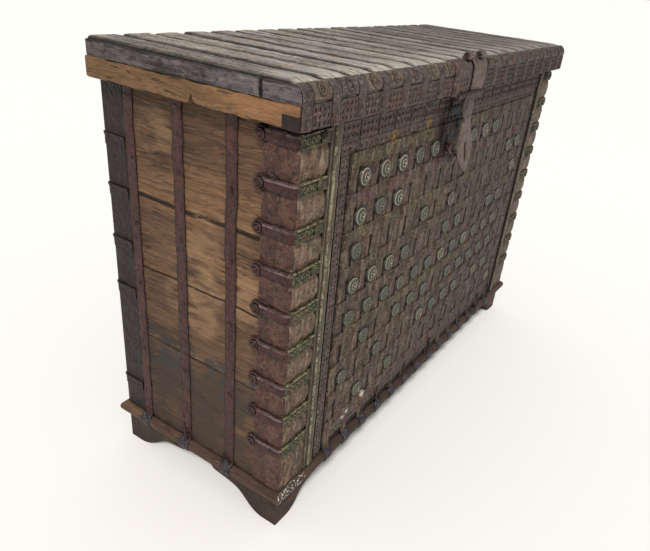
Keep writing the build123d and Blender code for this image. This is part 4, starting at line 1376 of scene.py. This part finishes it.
@dataclass
class CornerIron:
    """The plates, bands, rivets and rosettes that wrap the corners.

    The curl is the radius that the iron bends round, and the disc is the round end of a band.
    """

    curl: float = 5.0
    plate_thick: float = 2.0
    plate_side: float = 67.0
    band_height: float = 25.0
    band: float = 6.5
    front_reach: float = 82.0
    side_reach: float = 85.0
    disc: float = 15.0
    disc_at: float = 70.0
    leaf_pitch: float = 13.0
    rivet: Profile = (
        (0.0, 7.0), (3.2, 6.6), (5.0, 5.2), (6.2, 3.0, 1.0), (7.4, 4.0), (9.2, 3.6), (10.4, 2.0, 0.6),
        (11.0, -1.5, 1.0),
    )  # fmt: skip
    rosette: Profile = (
        (0.0, 5.6), (2.4, 5.2), (3.8, 3.4, 1.0), (5.2, 4.6), (7.0, 4.4), (8.2, 2.4, 1.0), (9.6, 3.4), (11.2, 2.4),
        (12.4, -1.5, 1.0),
    )  # fmt: skip

    def wrap(self, reach: float, right: bool, back: bool = False) -> Place:
        """A place function for iron that wraps a corner.

        Args:
            reach: How far the iron reaches along the front or the back.
            right: Whether it is a right corner.
            back: Whether it is a back corner.

        Returns:
            The function of the run along the iron from that end, the height, and the distance out of the wood.
        """

        def place(run: float, height: float, out: float) -> Vector:
            """Runs along the front or the back, round the corner and along the end."""
            t = run - reach
            if t < -self.curl:
                x, inwards = WOOD.low.x - t, -out
            elif t > self.curl:
                x, inwards = WOOD.low.x - out, t
            else:
                angle = math.pi / 2 + math.pi / 4 * (1 + t / self.curl)
                x = WOOD.low.x + self.curl + (self.curl + out) * math.cos(angle)
                inwards = self.curl - (self.curl + out) * math.sin(angle)
            y = WOOD.high.y - inwards if back else WOOD.low.y + inwards
            return Vector((-x if right else x, y, height)) * MM

        return place

    def build(self) -> None:
        """Builds the ironwork of the front corners and the bands of the back ones."""
        self.post_strips()
        self.back_bands()
        dress("back_iron", "corner_plates_back")
        heights = [band.middle.z for band in solids_of("corner_bands_left")]
        self.plates(heights)
        for right in (False, True):
            self.bands(heights, right)
        out = self.plate_thick + self.band
        rivets = stand_on("band_rivets", turned_profile(self.rivet, 20), out)
        keep("band_rivets_domed", rivets, ("side_band",), "carcass", ("band_rivets",))
        rosettes = stand_on("band_rosettes", turned_profile(self.rosette, 24, 8, 0.08), out - 0.5, front=True)
        keep("band_rosettes_ringed", rosettes, ("green_band",), "carcass", ("band_rosettes",))

    def post_strips(self) -> None:
        """The raised strips beside the lattice, with a bead between two dark grooves, up to the rim."""
        top = WOOD.high.z - 3
        bm = bmesh.new()
        for strip in solids_of("post_strips"):
            left, bottom, width, _ = strip.face
            height = top - bottom
            right = left > 0

            def inside(a: float) -> float:
                """Distance from the edge beside the corner plate."""
                return width - a if right else a

            def place(a: float, b: float, lift: float) -> Vector:
                """Sets the strip on the post, a little crooked."""
                return Side.FRONT.at(left + a + rough(b, 0, 50, 1 + right), bottom + b, lift)

            def lift(a: float, b: float) -> float:
                """A broad bead and a narrow one, hammered all over."""
                bead = max(about(inside(a), 24, 6, 11), 0.6 * about(inside(a), 6, 1, 4))
                return 5.4 + 4.0 * bead + 0.8 * rough(a, b, 9, 7)

            def crest(a: float, b: float) -> float:
                """Where the paint has gone from the shoulders of the broad bead."""
                shoulder = abs(abs(inside(a) - 24) - 7)
                return 0.3 + 0.7 * fade(shoulder + 1.5 * rough(a, b * 0.4, 9, 3), 1.0, 4.0)

            def smudge_and_shade(a: float, b: float) -> float:
                """Dirt in the groove and along the edges."""
                edge = min(a, width - a) + 1.5 * rough(b, a, 20, 9)
                return max(0.85 * about(inside(a), 12, 1, 3), fade(edge, 1.5, 4.5))

            relief(bm, (width, height), 2.4, lift, place, crest, smudge_and_shade=smudge_and_shade)
        keep("post_strips_beaded", bm, ("green_strip",), "carcass", ("post_strips",))

    def back_bands(self) -> None:
        """The thin bands of the back corners, as wide as their plates."""
        bm = bmesh.new()
        for band in solids_of("corner_bands_back"):
            reach, height = band.size[0] - self.plate_thick, band.size[2]
            bottom, middle = band.low.z, band.middle.z
            wrapped = self.wrap(reach, band.low.x > 0, back=True)

            def place(a: float, b: float, lift: float) -> Vector:
                """Wraps the band round the back corner."""
                return wrapped(a, bottom + b + 0.8 * rough(a, 0, 30, middle), self.plate_thick + lift)

            def lift(a: float, b: float) -> float:
                """A low band with a raised upper rim."""
                return 2.0 + 1.6 * ease(b, height - 7, height - 3) + 0.5 * rough(a, b, 12, middle)

            relief(bm, (2 * reach - 4, height), 3.0, lift, place)
        keep("corner_bands_back_thin", bm, ("back_iron",), "carcass", ("corner_bands_back",))

    def plates(self, heights: Sequence[float]) -> None:
        """The sheet plates between the bands, pillowed where the bands hold them down.

        Args:
            heights: Middles of the bands.
        """
        box = box_mm("corner_plates_front")
        bm = bmesh.new()
        for right in (False, True):
            wrapped = self.wrap(self.front_reach, right)

            def place(a: float, b: float, lift: float) -> Vector:
                """Sets the plate round the corner."""
                return wrapped(a, box.low.z + b, lift)

            def lift(a: float, b: float) -> float:
                """Pillows between the bands and dents all over."""
                gap = min(abs(box.low.z + b - z) for z in heights)
                return self.plate_thick - 0.3 + 3.6 * ease(gap, 11, 32) + 1.1 * rough(a, b, 15, 11.0 + right)

            relief(bm, (self.front_reach + self.plate_side, box.size[2]), 4.0, lift, place)
        second_finish(bm, lambda middle: abs(middle.x) > WOOD.high.x - 1)
        keep("corner_plates_hammered", bm, ("front_plate", "side_plate"), "carcass", ("corner_plates_front",))

    def bands(self, heights: Sequence[float], right: bool) -> None:
        """The nine bands of one front corner, with their embossed fronts and round side ends.

        Args:
            heights: Middles of the bands.
            right: Whether they are on the right corner.
        """
        disc_run = self.front_reach + self.disc_at
        half_height = self.band_height / 2
        wrapped = self.wrap(self.front_reach, right)
        bm = bmesh.new()
        for number, middle in enumerate(heights):
            seed = number + 20 * right

            def half(a: float) -> float:
                """Half height of the band at a run along it."""
                inside = max(0.0, self.disc**2 - (a - disc_run) ** 2)
                disc = max(1.2, math.sqrt(inside))
                if a > disc_run:
                    return disc
                return max(half_height - 1.5 * ease(a, disc_run - 40, disc_run - 18), disc if inside else 0.0)

            def place(a: float, b: float, lift: float) -> Vector:
                """Sets the band round the corner."""
                height = middle + (b / half_height - 1) * half(a) + 0.8 * rough(a, 0, 45, seed)
                return wrapped(a, height, self.plate_thick + lift)

            def curls(a: float, b: float) -> float:
                """How high a point is on the row of curls on the front."""
                if not 6 < a < self.front_reach - 4:
                    return 0.0
                gap = row_gap(a - 6, b, self.leaf_pitch, half_height)
                return max(about(gap, 4.6, 0.7, 1.9), fade(gap, 0.6, 2.0))

            def disc_gap(a: float, b: float) -> float:
                """Distance to the middle of the round end."""
                return math.hypot(a - disc_run, (b - half_height) * half(a) / half_height)

            def lift(a: float, b: float) -> float:
                """A raised rim top and bottom, curls on the front, and a ring at the round end."""
                v, front = aside(b, self.band_height), fade(a, self.front_reach - 8, self.front_reach)
                rims = 1.8 * ease(v, 0.62, 0.85) * fade(v, 0.93, 1.0)
                body = self.band - 1.8 + front * rims + (1 - front) * (3.4 * (1 - v * v) - 1.4)
                gap = disc_gap(a, b)
                ring = 1.4 * about(gap, 12.5, 0.8, 2.2) if gap < self.disc else 0.0
                return body + 1.6 * curls(a, b) + ring + 0.5 * rough(a, b, 10, seed)

            def crest(a: float, b: float) -> float:
                """Where the paint has gone from the curls, and a painted highlight along the upper rim."""
                up = b / half_height - 1
                if a < self.front_reach - 3:
                    return max(ease(up, 0.62, 0.85), curls(a, b))
                return 0.5 + 0.5 * about(up, 0.62, 0.08, 0.26)

            def smudge_and_shade(a: float, b: float) -> float:
                """Dirt round the curls, in the channel and the ring's groove; painted shadow on the end's lower edge.
                """
                v = aside(b, self.band_height)
                if a < self.front_reach - 4:
                    return fade(v, 0.5, 0.72) * 0.75 * fade(curls(a, b), 0.1, 0.5)
                groove = 0.8 * about(disc_gap(a, b), 10.8, 0.6, 1.8)
                return max(groove, 0.7 * ease(v, 0.8, 1.0) if b < half_height else 0.0)

            relief(bm, (self.front_reach + self.side_reach, self.band_height), 1.8, lift, place, crest, smudge_and_shade=smudge_and_shade)
        second_finish(bm, lambda middle: abs(middle.x) > WOOD.high.x + 1)
        end = "right" if right else "left"
        keep(f"corner_bands_{end}_forged", bm, ("green_band", "side_band"), "carcass", (f"corner_bands_{end}",))


@dataclass
class EndIron:
    """The straps on the two ends, bent round the base moulding, with their rivets."""

    strap_top: float = 890.0
    rivet: Profile = ((0.0, 3.4), (2.2, 3.2), (3.6, 2.2), (4.4, 1.2, 0.8), (5.6, 1.3), (6.0, -1.0, 1.0))
    rivet_out: float = 3.2

    def build(self) -> None:
        """Builds the straps and rivets of both ends."""
        strap = ClippedStrap(top=self.strap_top, crown=0.7)
        for side, node in ((Side.LEFT, "end_straps_left"), (Side.RIGHT, "end_straps_right")):
            bm = bmesh.new()
            for number, across in enumerate(sorted(box.middle.y for box in solids_of(node))):
                strap.add(bm, side, across, 0.5, 60 + number)
            second_finish(bm, lambda middle: middle.z < MOULDING.high.z + 1)
            keep(f"{node}_hammered", bm, ("straps", "clips"), "carcass", (node,))
        rivets = stand_on("end_strap_rivets", turned_profile(self.rivet, 14), self.rivet_out)
        keep("end_strap_rivets_domed", rivets, ("straps",), "carcass", ("end_strap_rivets",))


@dataclass(frozen=True)
class LidCurve:
    """The outside of the lid's sheet: flat on top, round at the nose and upright in front."""

    radius: float = 18.0
    sheet: Box = field(default_factory=lambda: box_mm("lid_strips"))

    @property
    def start(self) -> float:
        """The run at which the nose begins."""
        return self.sheet.high.y - (self.sheet.low.y + self.radius)

    @property
    def arc(self) -> float:
        """The run round the nose."""
        return self.radius * math.pi / 2

    @property
    def length(self) -> float:
        """The whole run."""
        return self.start + self.arc + self.sheet.high.z - self.radius - self.sheet.low.z

    def flat(self, run: float) -> float:
        """Is 1 on the flat top, and falls to 0 over its last 25 mm."""
        return fade(run, self.start - 25, self.start)

    def at(self, x: float, run: float, lift: float) -> Vector:
        """A point on the lid.

        Args:
            x: Its place along the chest.
            run: Its run from the back edge, over the top and down the front.
            lift: Its height over the sheet's outside.

        Returns:
            The point in metres.
        """
        front, top = self.sheet.low.y, self.sheet.high.z
        past = run - self.start
        if past <= 0:
            return Vector((x, self.sheet.high.y - run, top + lift)) * MM
        if past >= self.arc:
            return Vector((x, front - lift, top - self.radius - (past - self.arc))) * MM
        angle, reach = past / self.radius, self.radius + lift
        y = front + self.radius - reach * math.sin(angle)
        return Vector((x, y, top - self.radius + reach * math.cos(angle))) * MM

    def run_at(self, height: float) -> float:
        """The run to a height on the front face, in millimetres over the floor."""
        above = height - (self.sheet.high.z - self.radius)
        if above > 0:
            return self.start + self.radius * math.acos(above / self.radius)
        return self.start + self.arc - above


@dataclass
class LidIron:
    """The sheet strips over the lid, and the ridges and embossed plates on its front edge.

    Narrowed says which share of their width the strips lose on top, and nose_foot how low the nose plates reach.
    """

    thick: float = 1.5
    crown: float = 3.2
    narrowed: float = 0.095
    ridge: float = 24.0
    ridge_rise: float = 4.6
    plate_rise: float = 1.6
    plate_rows: tuple[float, ...] = (0.2, 0.48, 0.76)
    nose_foot: float = 934.0
    curve: LidCurve = field(default_factory=LidCurve)

    def build(self) -> None:
        """Builds the strips and their ornament."""
        self.strips()
        self.ridges()
        self.lower_plates()
        self.upper_plates()

    def strips(self) -> None:
        """The strips over the top, crowned and a little crooked, with their edges turned down."""
        bm = bmesh.new()
        for number, strip in enumerate(solids_of("lid_strips")):
            left, width = strip.low.x, strip.size[0]
            rise = random.uniform(0.0, 1.2)

            def place(a: float, b: float, lift: float) -> Vector:
                """Lays the strip on the lid, narrower on top, which leaves dark gaps."""
                top = self.curve.flat(b)
                sway = top * (2.0 * rough(b, 0, 130, number) + 1.1 * rough(b, a, 32, number + 30))
                x = left + width / 2 + (a - width / 2) * (1 - self.narrowed * top) + sway
                return self.curve.at(x, b, lift - self.thick)

            def lift(a: float, b: float) -> float:
                """A crown with rolled edges and dents."""
                top = self.curve.flat(b)
                crown = (self.crown + rise) * (1 - aside(a, width) ** 12)
                dents = 0.9 * rough(a, b, 26, number + 60) + 0.4 * rough(a, b, 8, number + 90)
                return self.thick + top * crown + dents * (0.4 + 0.6 * top)

            def smudge_and_shade(a: float, b: float) -> float:
                """Dirt and painted shadow along both edges, darkest in the groove down the front."""
                top = self.curve.flat(b)
                shoulder = width - 4 - 4 * top
                groove = fade(a, 1, 8) if number == 0 else 0.8 * fade(a, 0, 5)
                return max(top * fade(a, 3, 9), ease(a, shoulder - 4, shoulder), groove)

            relief(bm, (width, self.curve.length), 5.0, lift, place, random.random(), smudge_and_shade=smudge_and_shade)
        keep("lid_strips_beaten", bm, ("lid_sheet",), "lid", ("lid_strips",))

    def ridges(self) -> None:
        """The half-round ridges, which run up the front and die into the top; one gives way to the hasp."""
        base = self.curve.start - 6
        lefts = [box.low.x for box in solids_of("lid_ridges") if not 0 < box.low.x < self.ridge]
        bm = bmesh.new()
        for number, left in enumerate(lefts):

            def place(a: float, b: float, lift: float) -> Vector:
                """Sets the ridge at the left of its strip."""
                return self.curve.at(left + a + 0.6 * rough(b, 0, 20, number), base + b, lift)

            def lift(a: float, b: float) -> float:
                """Half round, lower towards the top."""
                round_rise = self.ridge_rise * math.sqrt(max(0.0, crowned(a, self.ridge)))
                return 0.3 + round_rise * ease(b, 2, 34) + 0.3 * rough(a, b, 9, number)

            relief(bm, (self.ridge, self.curve.length - base), 2.2, lift, place, random.random(), lip=0.8)
        keep("lid_ridges_rounded", bm, ("ridge",), "lid", ("lid_ridges",))

    def lower_plates(self) -> None:
        """The plates low on the front edge, with their rows of drop-shaped dots."""
        bm = bmesh.new()
        for number, plate in enumerate(solids_of("lid_face_plates")):
            left, bottom, width, height = plate.face
            dots = dots_on(width, height, self.plate_rows, 0.6, 4.2)

            def place(a: float, b: float, lift: float) -> Vector:
                """Sets the plate low on the lid's front."""
                uneven = 0.7 * rough(a, 0, 18, number) * fade(b, 0, 14)
                return self.curve.at(left + a, self.curve.run_at(bottom + b + uneven), lift)

            def lift(a: float, b: float) -> float:
                """Dots under a ridge along the top."""
                rim = 0.9 * ease(b, height - 4, height - 2)
                return self.plate_rise + crater(dot_gap(a, b, dots, 0.75)) + rim + 0.4 * rough(a, b, 12, number)

            def smudge_and_shade(a: float, b: float) -> float:
                """Dirt and painted shade in the dots, and dirt along the edges."""
                edges = max(0.8 * fade(min(a, width - a, b), 0.5, 2.4), 0.9 * ease(b, height - 1.5, height))
                return max(pit_smudge_and_shade(dot_gap(a, b, dots, 0.75)), edges)

            relief(bm, (width, height), 1.5, lift, place, random.random(), smudge_and_shade=smudge_and_shade)
        keep("lid_face_plates_embossed", bm, ("embossed",), "lid", ("lid_face_plates",))

    def upper_plates(self) -> None:
        """The plates round the nose, each with a small ringed rosette."""
        base = self.curve.start + 1.0
        length = self.curve.run_at(self.nose_foot) - base
        bm = bmesh.new()
        for number, plate in enumerate(solids_of("lid_face_plates")):
            left, width = plate.low.x, plate.size[0]
            middle = (width * 0.52, length * 0.5)

            def place(a: float, b: float, lift: float) -> Vector:
                """Lays the plate over the nose."""
                return self.curve.at(left + a, base + b, lift)

            def lift(a: float, b: float) -> float:
                """A ring and a heart, with a rim all round."""
                gap = dot_gap(a, b, [middle])
                ring = 1.6 * about(gap, 8.0, 0.8, 2.4) + 1.8 * fade(gap, 1.0, 4.4)
                rim = 0.6 * about(inset(a, b, width, length), 2.2, 0.6, 1.8)
                return 1.2 + ring + rim + 0.5 * rough(a, b, 10, number + 7)

            def smudge_and_shade(a: float, b: float) -> float:
                """Dirt in the grooves beside the ring and along the edges."""
                gap = dot_gap(a, b, [middle])
                groove = max(about(gap, 5.4, 0.5, 1.5), about(gap, 11.0, 0.6, 2.2))
                sides = 0.8 * fade(min(a, width - a), 0.5, 2.4)
                return max(0.85 * groove, sides, 0.9 * ease(b, length - 3, length - 1))

            relief(bm, (width, length), 1.5, lift, place, random.random(), smudge_and_shade=smudge_and_shade)
        keep("lid_nose_plates", bm, ("nose_plate",), "lid")


@dataclass
class LidWood:
    """The lid's boards and rails, and the iron shoe on the front end of each batten.

    The battens and the shoes reach forward to the very front, and a splinter has left a notch below each batten.
    """

    notch: float = -13.0
    notch_depth: float = 16.0
    notch_half: float = 7.0
    forward: float = 20.0
    forward_from: tuple[float, float] = (150.0, 175.0)

    def build(self) -> None:
        """Dresses the lid's timber, wears the battens' edges and softens the shoes."""
        dress("deck", "lid_boards")
        dress("nose_rail", "lid_front_rail", "lid_back_rail")
        for node in ("lid_end_rail_left", "lid_end_rail_right"):
            keep(f"{node}_worn", softened(node, 1.2, 0.0, 6.0, self.wear(node)), ("batten",), "lid", (node,), 30)

        def ahead(spot: Vector) -> Vector:
            """Moves a corner block up to the very front, under the batten's end."""
            return Vector((-math.copysign(0.5, spot.x), -self.forward, 0))

        shoes = softened("lid_corner_blocks", 1.2, 0.6, wear=ahead)
        keep("lid_corner_shoes", shoes, ("back_iron",), "lid", ("lid_corner_blocks",))

    def wear(self, node: str) -> Callable[[Vector], Vector]:
        """The wear of a batten's outer edges.

        Args:
            node: The batten's CAD node.

        Returns:
            The function of a point's place that says how far it moves.
        """
        box = box_mm(node)
        outer = max(abs(box.low.x), abs(box.high.x)) - 2.0

        def move(spot: Vector) -> Vector:
            """Wavers along the lower and the upper edge, with one splintered notch below."""
            reach = -self.forward * ease(-spot.y, *self.forward_from) if abs(spot.x) > outer - 3.2 else 0.0
            if abs(spot.x) < outer:
                return Vector((0, reach, 0))
            below = fade(spot.z, box.low.z, box.low.z + 8)
            above = ease(spot.z, box.high.z - 6, box.high.z)
            slow, fast = rough(spot.y, 0, 70, 1), rough(spot.y, 0, 17, 2)
            gash = self.notch_depth * max(0.0, 1 - abs(spot.y - self.notch) / self.notch_half)
            rise = below * (2.2 + 2.6 * slow + 1.6 * fast + gash) - above * (1.4 + 1.6 * slow + 1.2 * fast)
            return Vector((-math.copysign(0.3, spot.x), reach, rise))

        return move


@dataclass(frozen=True)
class HaspStrap:
    """How one of the two hasp straps is forged.

    It reaches past the CAD's edges by shifts to the right, begins some way behind the nose, loses a share of its
    width at the foot, and has a low band at its right, painted dark as a shadow, whose edges are a share of its
    thickness high. The ornate one has the ridge and the dots of a lid strip.
    """

    shifts: tuple[float, float]
    begins: float
    taper: float
    band: float
    sunk: float
    ornate: bool


@dataclass
class Hasp:
    """The two hasp straps with their scrolls, the slotted leaf, its pin and the staple.

    The leaf's gap is half of the room between the straps' knuckles, and its shift puts that to the left of the
    pin's middle. Below its waist the leaf is narrower on the right, and its painted shadow starts between two
    heights.
    """

    thick: float = 6.0
    straps: tuple[HaspStrap, ...] = (
        HaspStrap((-18.0, 12.0), 6.0, 0.10, 8.0, 0.2, True),
        HaspStrap((12.0, 34.0), 22.0, 0.16, 14.0, 0.6, False),
    )
    dotted: float = 40.0
    leaf_gap: float = 28.0
    leaf_shift: float = -7.0
    leaf_waist: float = 860.0
    leaf_shadow_heights: tuple[float, float] = (866.0, 880.0)
    scroll_at: tuple[float, float] = (18.0, 970.3)
    scroll: Profile = (
        (0.0, 25.5), (1.8, 25.2), (2.8, 23.6, 1.0), (3.8, 23.6, 1.0), (4.8, 25.0), (6.0, 25.0), (6.8, 23.6, 1.0),
        (7.6, 24.2), (9.0, 22.5), (9.2, 12.0), (9.0, 1.5), (8.0, 0.0),
    )  # fmt: skip
    wire: float = 4.0
    rose: Profile = ((0.0, 3.4), (5.0, 3.2), (8.0, 2.2), (9.5, 2.6), (12.0, 1.8), (13.0, 0.0))

    def build(self) -> None:
        """Builds the hasp and the staple."""
        self.lid_straps()
        keep("hasp_pin_worn", softened("hasp_pin", 0.5, 0.1), ("hasp",), "lid", ("hasp_pin",))
        self.leaf()
        self.staple()

    def leaf(self) -> None:
        """The slotted leaf, painted dark towards its knuckle as shadow, and narrower on its lower right."""
        leaf = softened("hasp_leaf", 0.9, 0.35)
        middle = box_mm("hasp_leaf").middle.x * MM
        smudge_and_shade_layer = leaf.verts.layers.float.new("smudge_and_shade")
        for vert in leaf.verts:
            # Painted shadow, deepening towards the knuckle.
            vert[smudge_and_shade_layer] = 0.85 * ease(vert.co.z / MM, *self.leaf_shadow_heights)
            if vert.co.x > middle and vert.co.z < self.leaf_waist * MM:
                vert.co.x = middle + (vert.co.x - middle) * 0.87
        keep("hasp_leaf_forged", leaf, ("hasp",), "hasp", ("hasp_leaf",))

    def lid_straps(self) -> None:
        """The left strap, dressed like a lid strip, the plain right one, their scrolls and their knuckles."""
        boxes = solids_of("hasp_straps")
        bm = bmesh.new()
        for number, (strap, box) in enumerate(zip(self.straps, boxes)):
            self.lid_strap(bm, number, strap, box)
        scroll = turned_profile(self.scroll, 26)
        for box in boxes:
            spot = Vector((box.high.x, box.low.y + self.scroll_at[0], self.scroll_at[1])) * MM
            stand(bm, scroll, Matrix.Translation(spot) @ Matrix.Rotation(-math.pi / 2, 4, "Y"))
        self.knuckles(bm, boxes)
        keep("hasp_straps_forged", bm, ("hasp", "embossed"), "lid", ("hasp_straps",))

    def lid_strap(self, bm: BMesh, number: int, strap: HaspStrap, box: Box) -> None:
        """Adds one strap.

        Args:
            bm: The mesh to add to.
            number: The strap's number from the left.
            strap: How it is forged.
            box: The reach of its CAD solid.
        """
        curve, ridge = LidCurve(), LidIron.ridge
        left = box.low.x + strap.shifts[0]
        width = box.high.x + strap.shifts[1] - left
        base = curve.start - strap.begins
        length = curve.length - base + 2
        plate = dots_on(width - ridge, self.dotted, LidIron.plate_rows, 0.6, 4.2) if strap.ornate else []
        dots = [(ridge + x, length - self.dotted + y) for x, y in plate]

        def gap(a: float, b: float) -> float:
            """Distance to the nearest dot."""
            return dot_gap(a, b, dots, 0.75) if dots else math.inf

        def place(a: float, b: float, lift: float) -> Vector:
            """Lays the strap over the nose, its lower right corner rounded."""
            spread = 1 - strap.taper * ease(b, length - 26, length) * (a / width)
            return curve.at(left + a * spread + 0.8 * rough(b, 0, 26, number), base + b, lift)

        def lift(a: float, b: float) -> float:
            """Thick iron with rounded edges, with a ridge and dots on the ornate strap."""
            full = strap.sunk + (1 - strap.sunk) * ease(min(a, width - strap.band - a), 0, 6)
            body = self.thick * full * (0.4 + 0.6 * ease(b, 0, 14))
            if strap.ornate:
                body += 4.0 * math.sqrt(max(0.0, crowned(a, ridge))) * ease(b, 2, 30)
            return body + crater(gap(a, b)) + 0.6 * rough(a, b, 13, number)

        def smudge_and_shade(a: float, b: float) -> float:
            """Painted shade and dirt in the dots, dirt by the ridge and the left side, painted shadow at the right."""
            groove = 0.8 * about(a, ridge + 1, 0.5, 2.5) if strap.ornate else 0.0
            edge = width - strap.band - 2
            return max(pit_smudge_and_shade(gap(a, b)), groove, ease(a, edge, edge + 2.5), 0.8 * fade(a, 0, 2))

        relief(bm, (width, length), 1.8, lift, place, 0.5, int(strap.ornate), smudge_and_shade=smudge_and_shade)

    def knuckles(self, bm: BMesh, boxes: Sequence[Box]) -> None:
        """Adds the knuckles of the straps, on either side of the leaf's.

        Args:
            bm: The mesh to add to, after its last knob.
            boxes: The reach of each strap's CAD solid.
        """
        pin = box_mm("hasp_pin").middle
        radius = (pin.z - boxes[0].low.z) * MM
        leaf = pin.x + self.leaf_shift
        for ends in ((boxes[0].low.x, leaf - self.leaf_gap), (leaf + self.leaf_gap, boxes[1].high.x)):
            middle = Vector((sum(ends) / 2, pin.y, pin.z)) * MM
            knuckle = bmesh.ops.create_cone(
                bm, cap_ends=True, segments=24, radius1=radius, radius2=radius, depth=(ends[1] - ends[0]) * MM,
                matrix=Matrix.Translation(middle) @ Matrix.Rotation(math.pi / 2, 4, "Y"),
            )  # fmt: skip
            # The knuckles are painted dark, as the shadow that they lie in.
            for vert in knuckle["verts"]:
                vert[bm.verts.layers.float["smudge_and_shade"]] = 0.85

    def staple(self) -> None:
        """The round eye that the leaf's slot drops over, on its rose."""
        box = box_mm("lock_staple")
        radius = box.size[2] / 2 - self.wire
        middle = Vector((box.middle.x, box.low.y + radius + self.wire, box.middle.z))
        bm = bmesh.new()
        ring = bmesh.ops.create_circle(bm, cap_ends=False, segments=14, radius=self.wire * MM)["verts"]
        bmesh.ops.translate(bm, verts=ring, vec=(radius * MM, 0, 0))
        bmesh.ops.rotate(bm, verts=ring, cent=(0, 0, 0), matrix=Matrix.Rotation(math.pi / 2, 3, "X"))
        spin_round(bm, 40)
        turn = Matrix.Translation(middle * MM) @ Matrix.Rotation(math.pi / 2, 4, "Y")
        bmesh.ops.transform(bm, matrix=turn, verts=bm.verts)
        stand(bm, turned_profile(self.rose, 24, 8, 0.06), Side.FRONT.stance(middle.x, middle.z, Lattice.bed))
        keep("lock_staple_ring", bm, ("hasp",), "carcass", ("lock_staple",))


@dataclass
class Hinges:
    """The two strap hinges behind, with their pins."""

    worn: float = 0.6

    def build(self) -> None:
        """Builds worn copies of the hinges' leaves and dresses their pins."""
        for node, body in (("hinge_wall_leaves", "carcass"), ("hinge_lid_leaves", "lid")):
            keep(f"{node}_worn", softened(node, self.worn), ("back_iron",), body, (node,))
        dress("back_iron", "hinge_pins")


@dataclass
class Studio:
    """The pale floor, the soft light and the camera."""

    place: Spot = (-1.4439, -0.7779, 1.1189)
    yaw: float = 30.513
    pitch: float = 28.475
    roll: float = 6.254
    focal_px: float = 604.1
    middle_px: tuple[float, float] = (342.4, 295.0)
    frame_px: tuple[int, int] = (650, 551)
    sun_way: Spot = (0.62, 0.34, -0.8)
    sun_strength: float = 2.9
    sun_size: float = 11.0

    def build(self) -> None:
        """Sets the stage."""
        self.camera()
        self.floor()
        self.sun()
        world = bpy.data.worlds.new("studio")
        world.use_nodes = True
        world.node_tree.nodes.clear()
        air = add(world.node_tree, "ShaderNodeBackground", None, {"Color": linear("#f6f4f0"), "Strength": 0.62})
        add(world.node_tree, "ShaderNodeOutputWorld", None, {"Surface": air.outputs[0]})
        bpy.context.scene.world = world
        bpy.context.scene.view_settings.view_transform = "Standard"

    def camera(self) -> None:
        """Sets up the camera from its place, its turn and its focal length in pixels."""
        yaw, pitch, roll = (math.radians(a) for a in (self.yaw, self.pitch, self.roll))
        ahead = Vector((math.cos(yaw) * math.cos(pitch), math.sin(yaw) * math.cos(pitch), -math.sin(pitch)))
        right = Vector((math.sin(yaw), -math.cos(yaw), 0.0))
        up = right.cross(ahead)
        across = math.cos(roll) * right + math.sin(roll) * up
        upright = -math.sin(roll) * right + math.cos(roll) * up
        turn = Matrix((across, upright, -ahead)).transposed().to_4x4()
        data = bpy.data.cameras.new("camera")
        data.sensor_width = 36.0
        data.sensor_fit = "HORIZONTAL"
        width, height = self.frame_px
        data.lens = self.focal_px * data.sensor_width / width
        data.shift_x = (width / 2 - self.middle_px[0]) / width
        data.shift_y = (self.middle_px[1] - height / 2) / width
        camera = bpy.data.objects.new("camera", data)
        camera.matrix_world = Matrix.Translation(self.place) @ turn
        bpy.context.scene.collection.objects.link(camera)
        bpy.context.scene.camera = camera

    def sun(self) -> None:
        """Adds one soft far light, by the way that it travels, its strength and its apparent size in degrees."""
        data = bpy.data.lights.new("key", "SUN")
        data.energy, data.angle = self.sun_strength, math.radians(self.sun_size)
        data.color = linear("#fffaf3")[:3]
        lamp = bpy.data.objects.new("key", data)
        lamp.rotation_euler = Vector(self.sun_way).to_track_quat("-Z", "Y").to_euler()
        bpy.context.scene.collection.objects.link(lamp)

    def floor(self) -> None:
        """Lays the floor."""
        bm = bmesh.new()
        bmesh.ops.create_grid(bm, x_segments=1, y_segments=1, size=600.0)
        mesh = mesh_of(bm, "studio_floor")
        mesh.materials.append(Coat("pale_floor", "#ececec").finish(0.9))
        ground = bpy.data.objects.new("studio_floor", mesh)
        bpy.context.scene.collection.objects.link(ground)


PARTS = (Studio, Woodwork, Lattice, PunchedSheets, CornerIron, EndIron, LidIron, LidWood, Hasp, Hinges)


def main() -> None:
    """Builds every sub-assembly in order."""
    logging.basicConfig(level=logging.INFO, format="%(message)s")
    random.seed(7)
    for part in PARTS:
        LOG.info("-- %s", part.__name__)
        part().build()


if __name__ == "__main__":
    main()
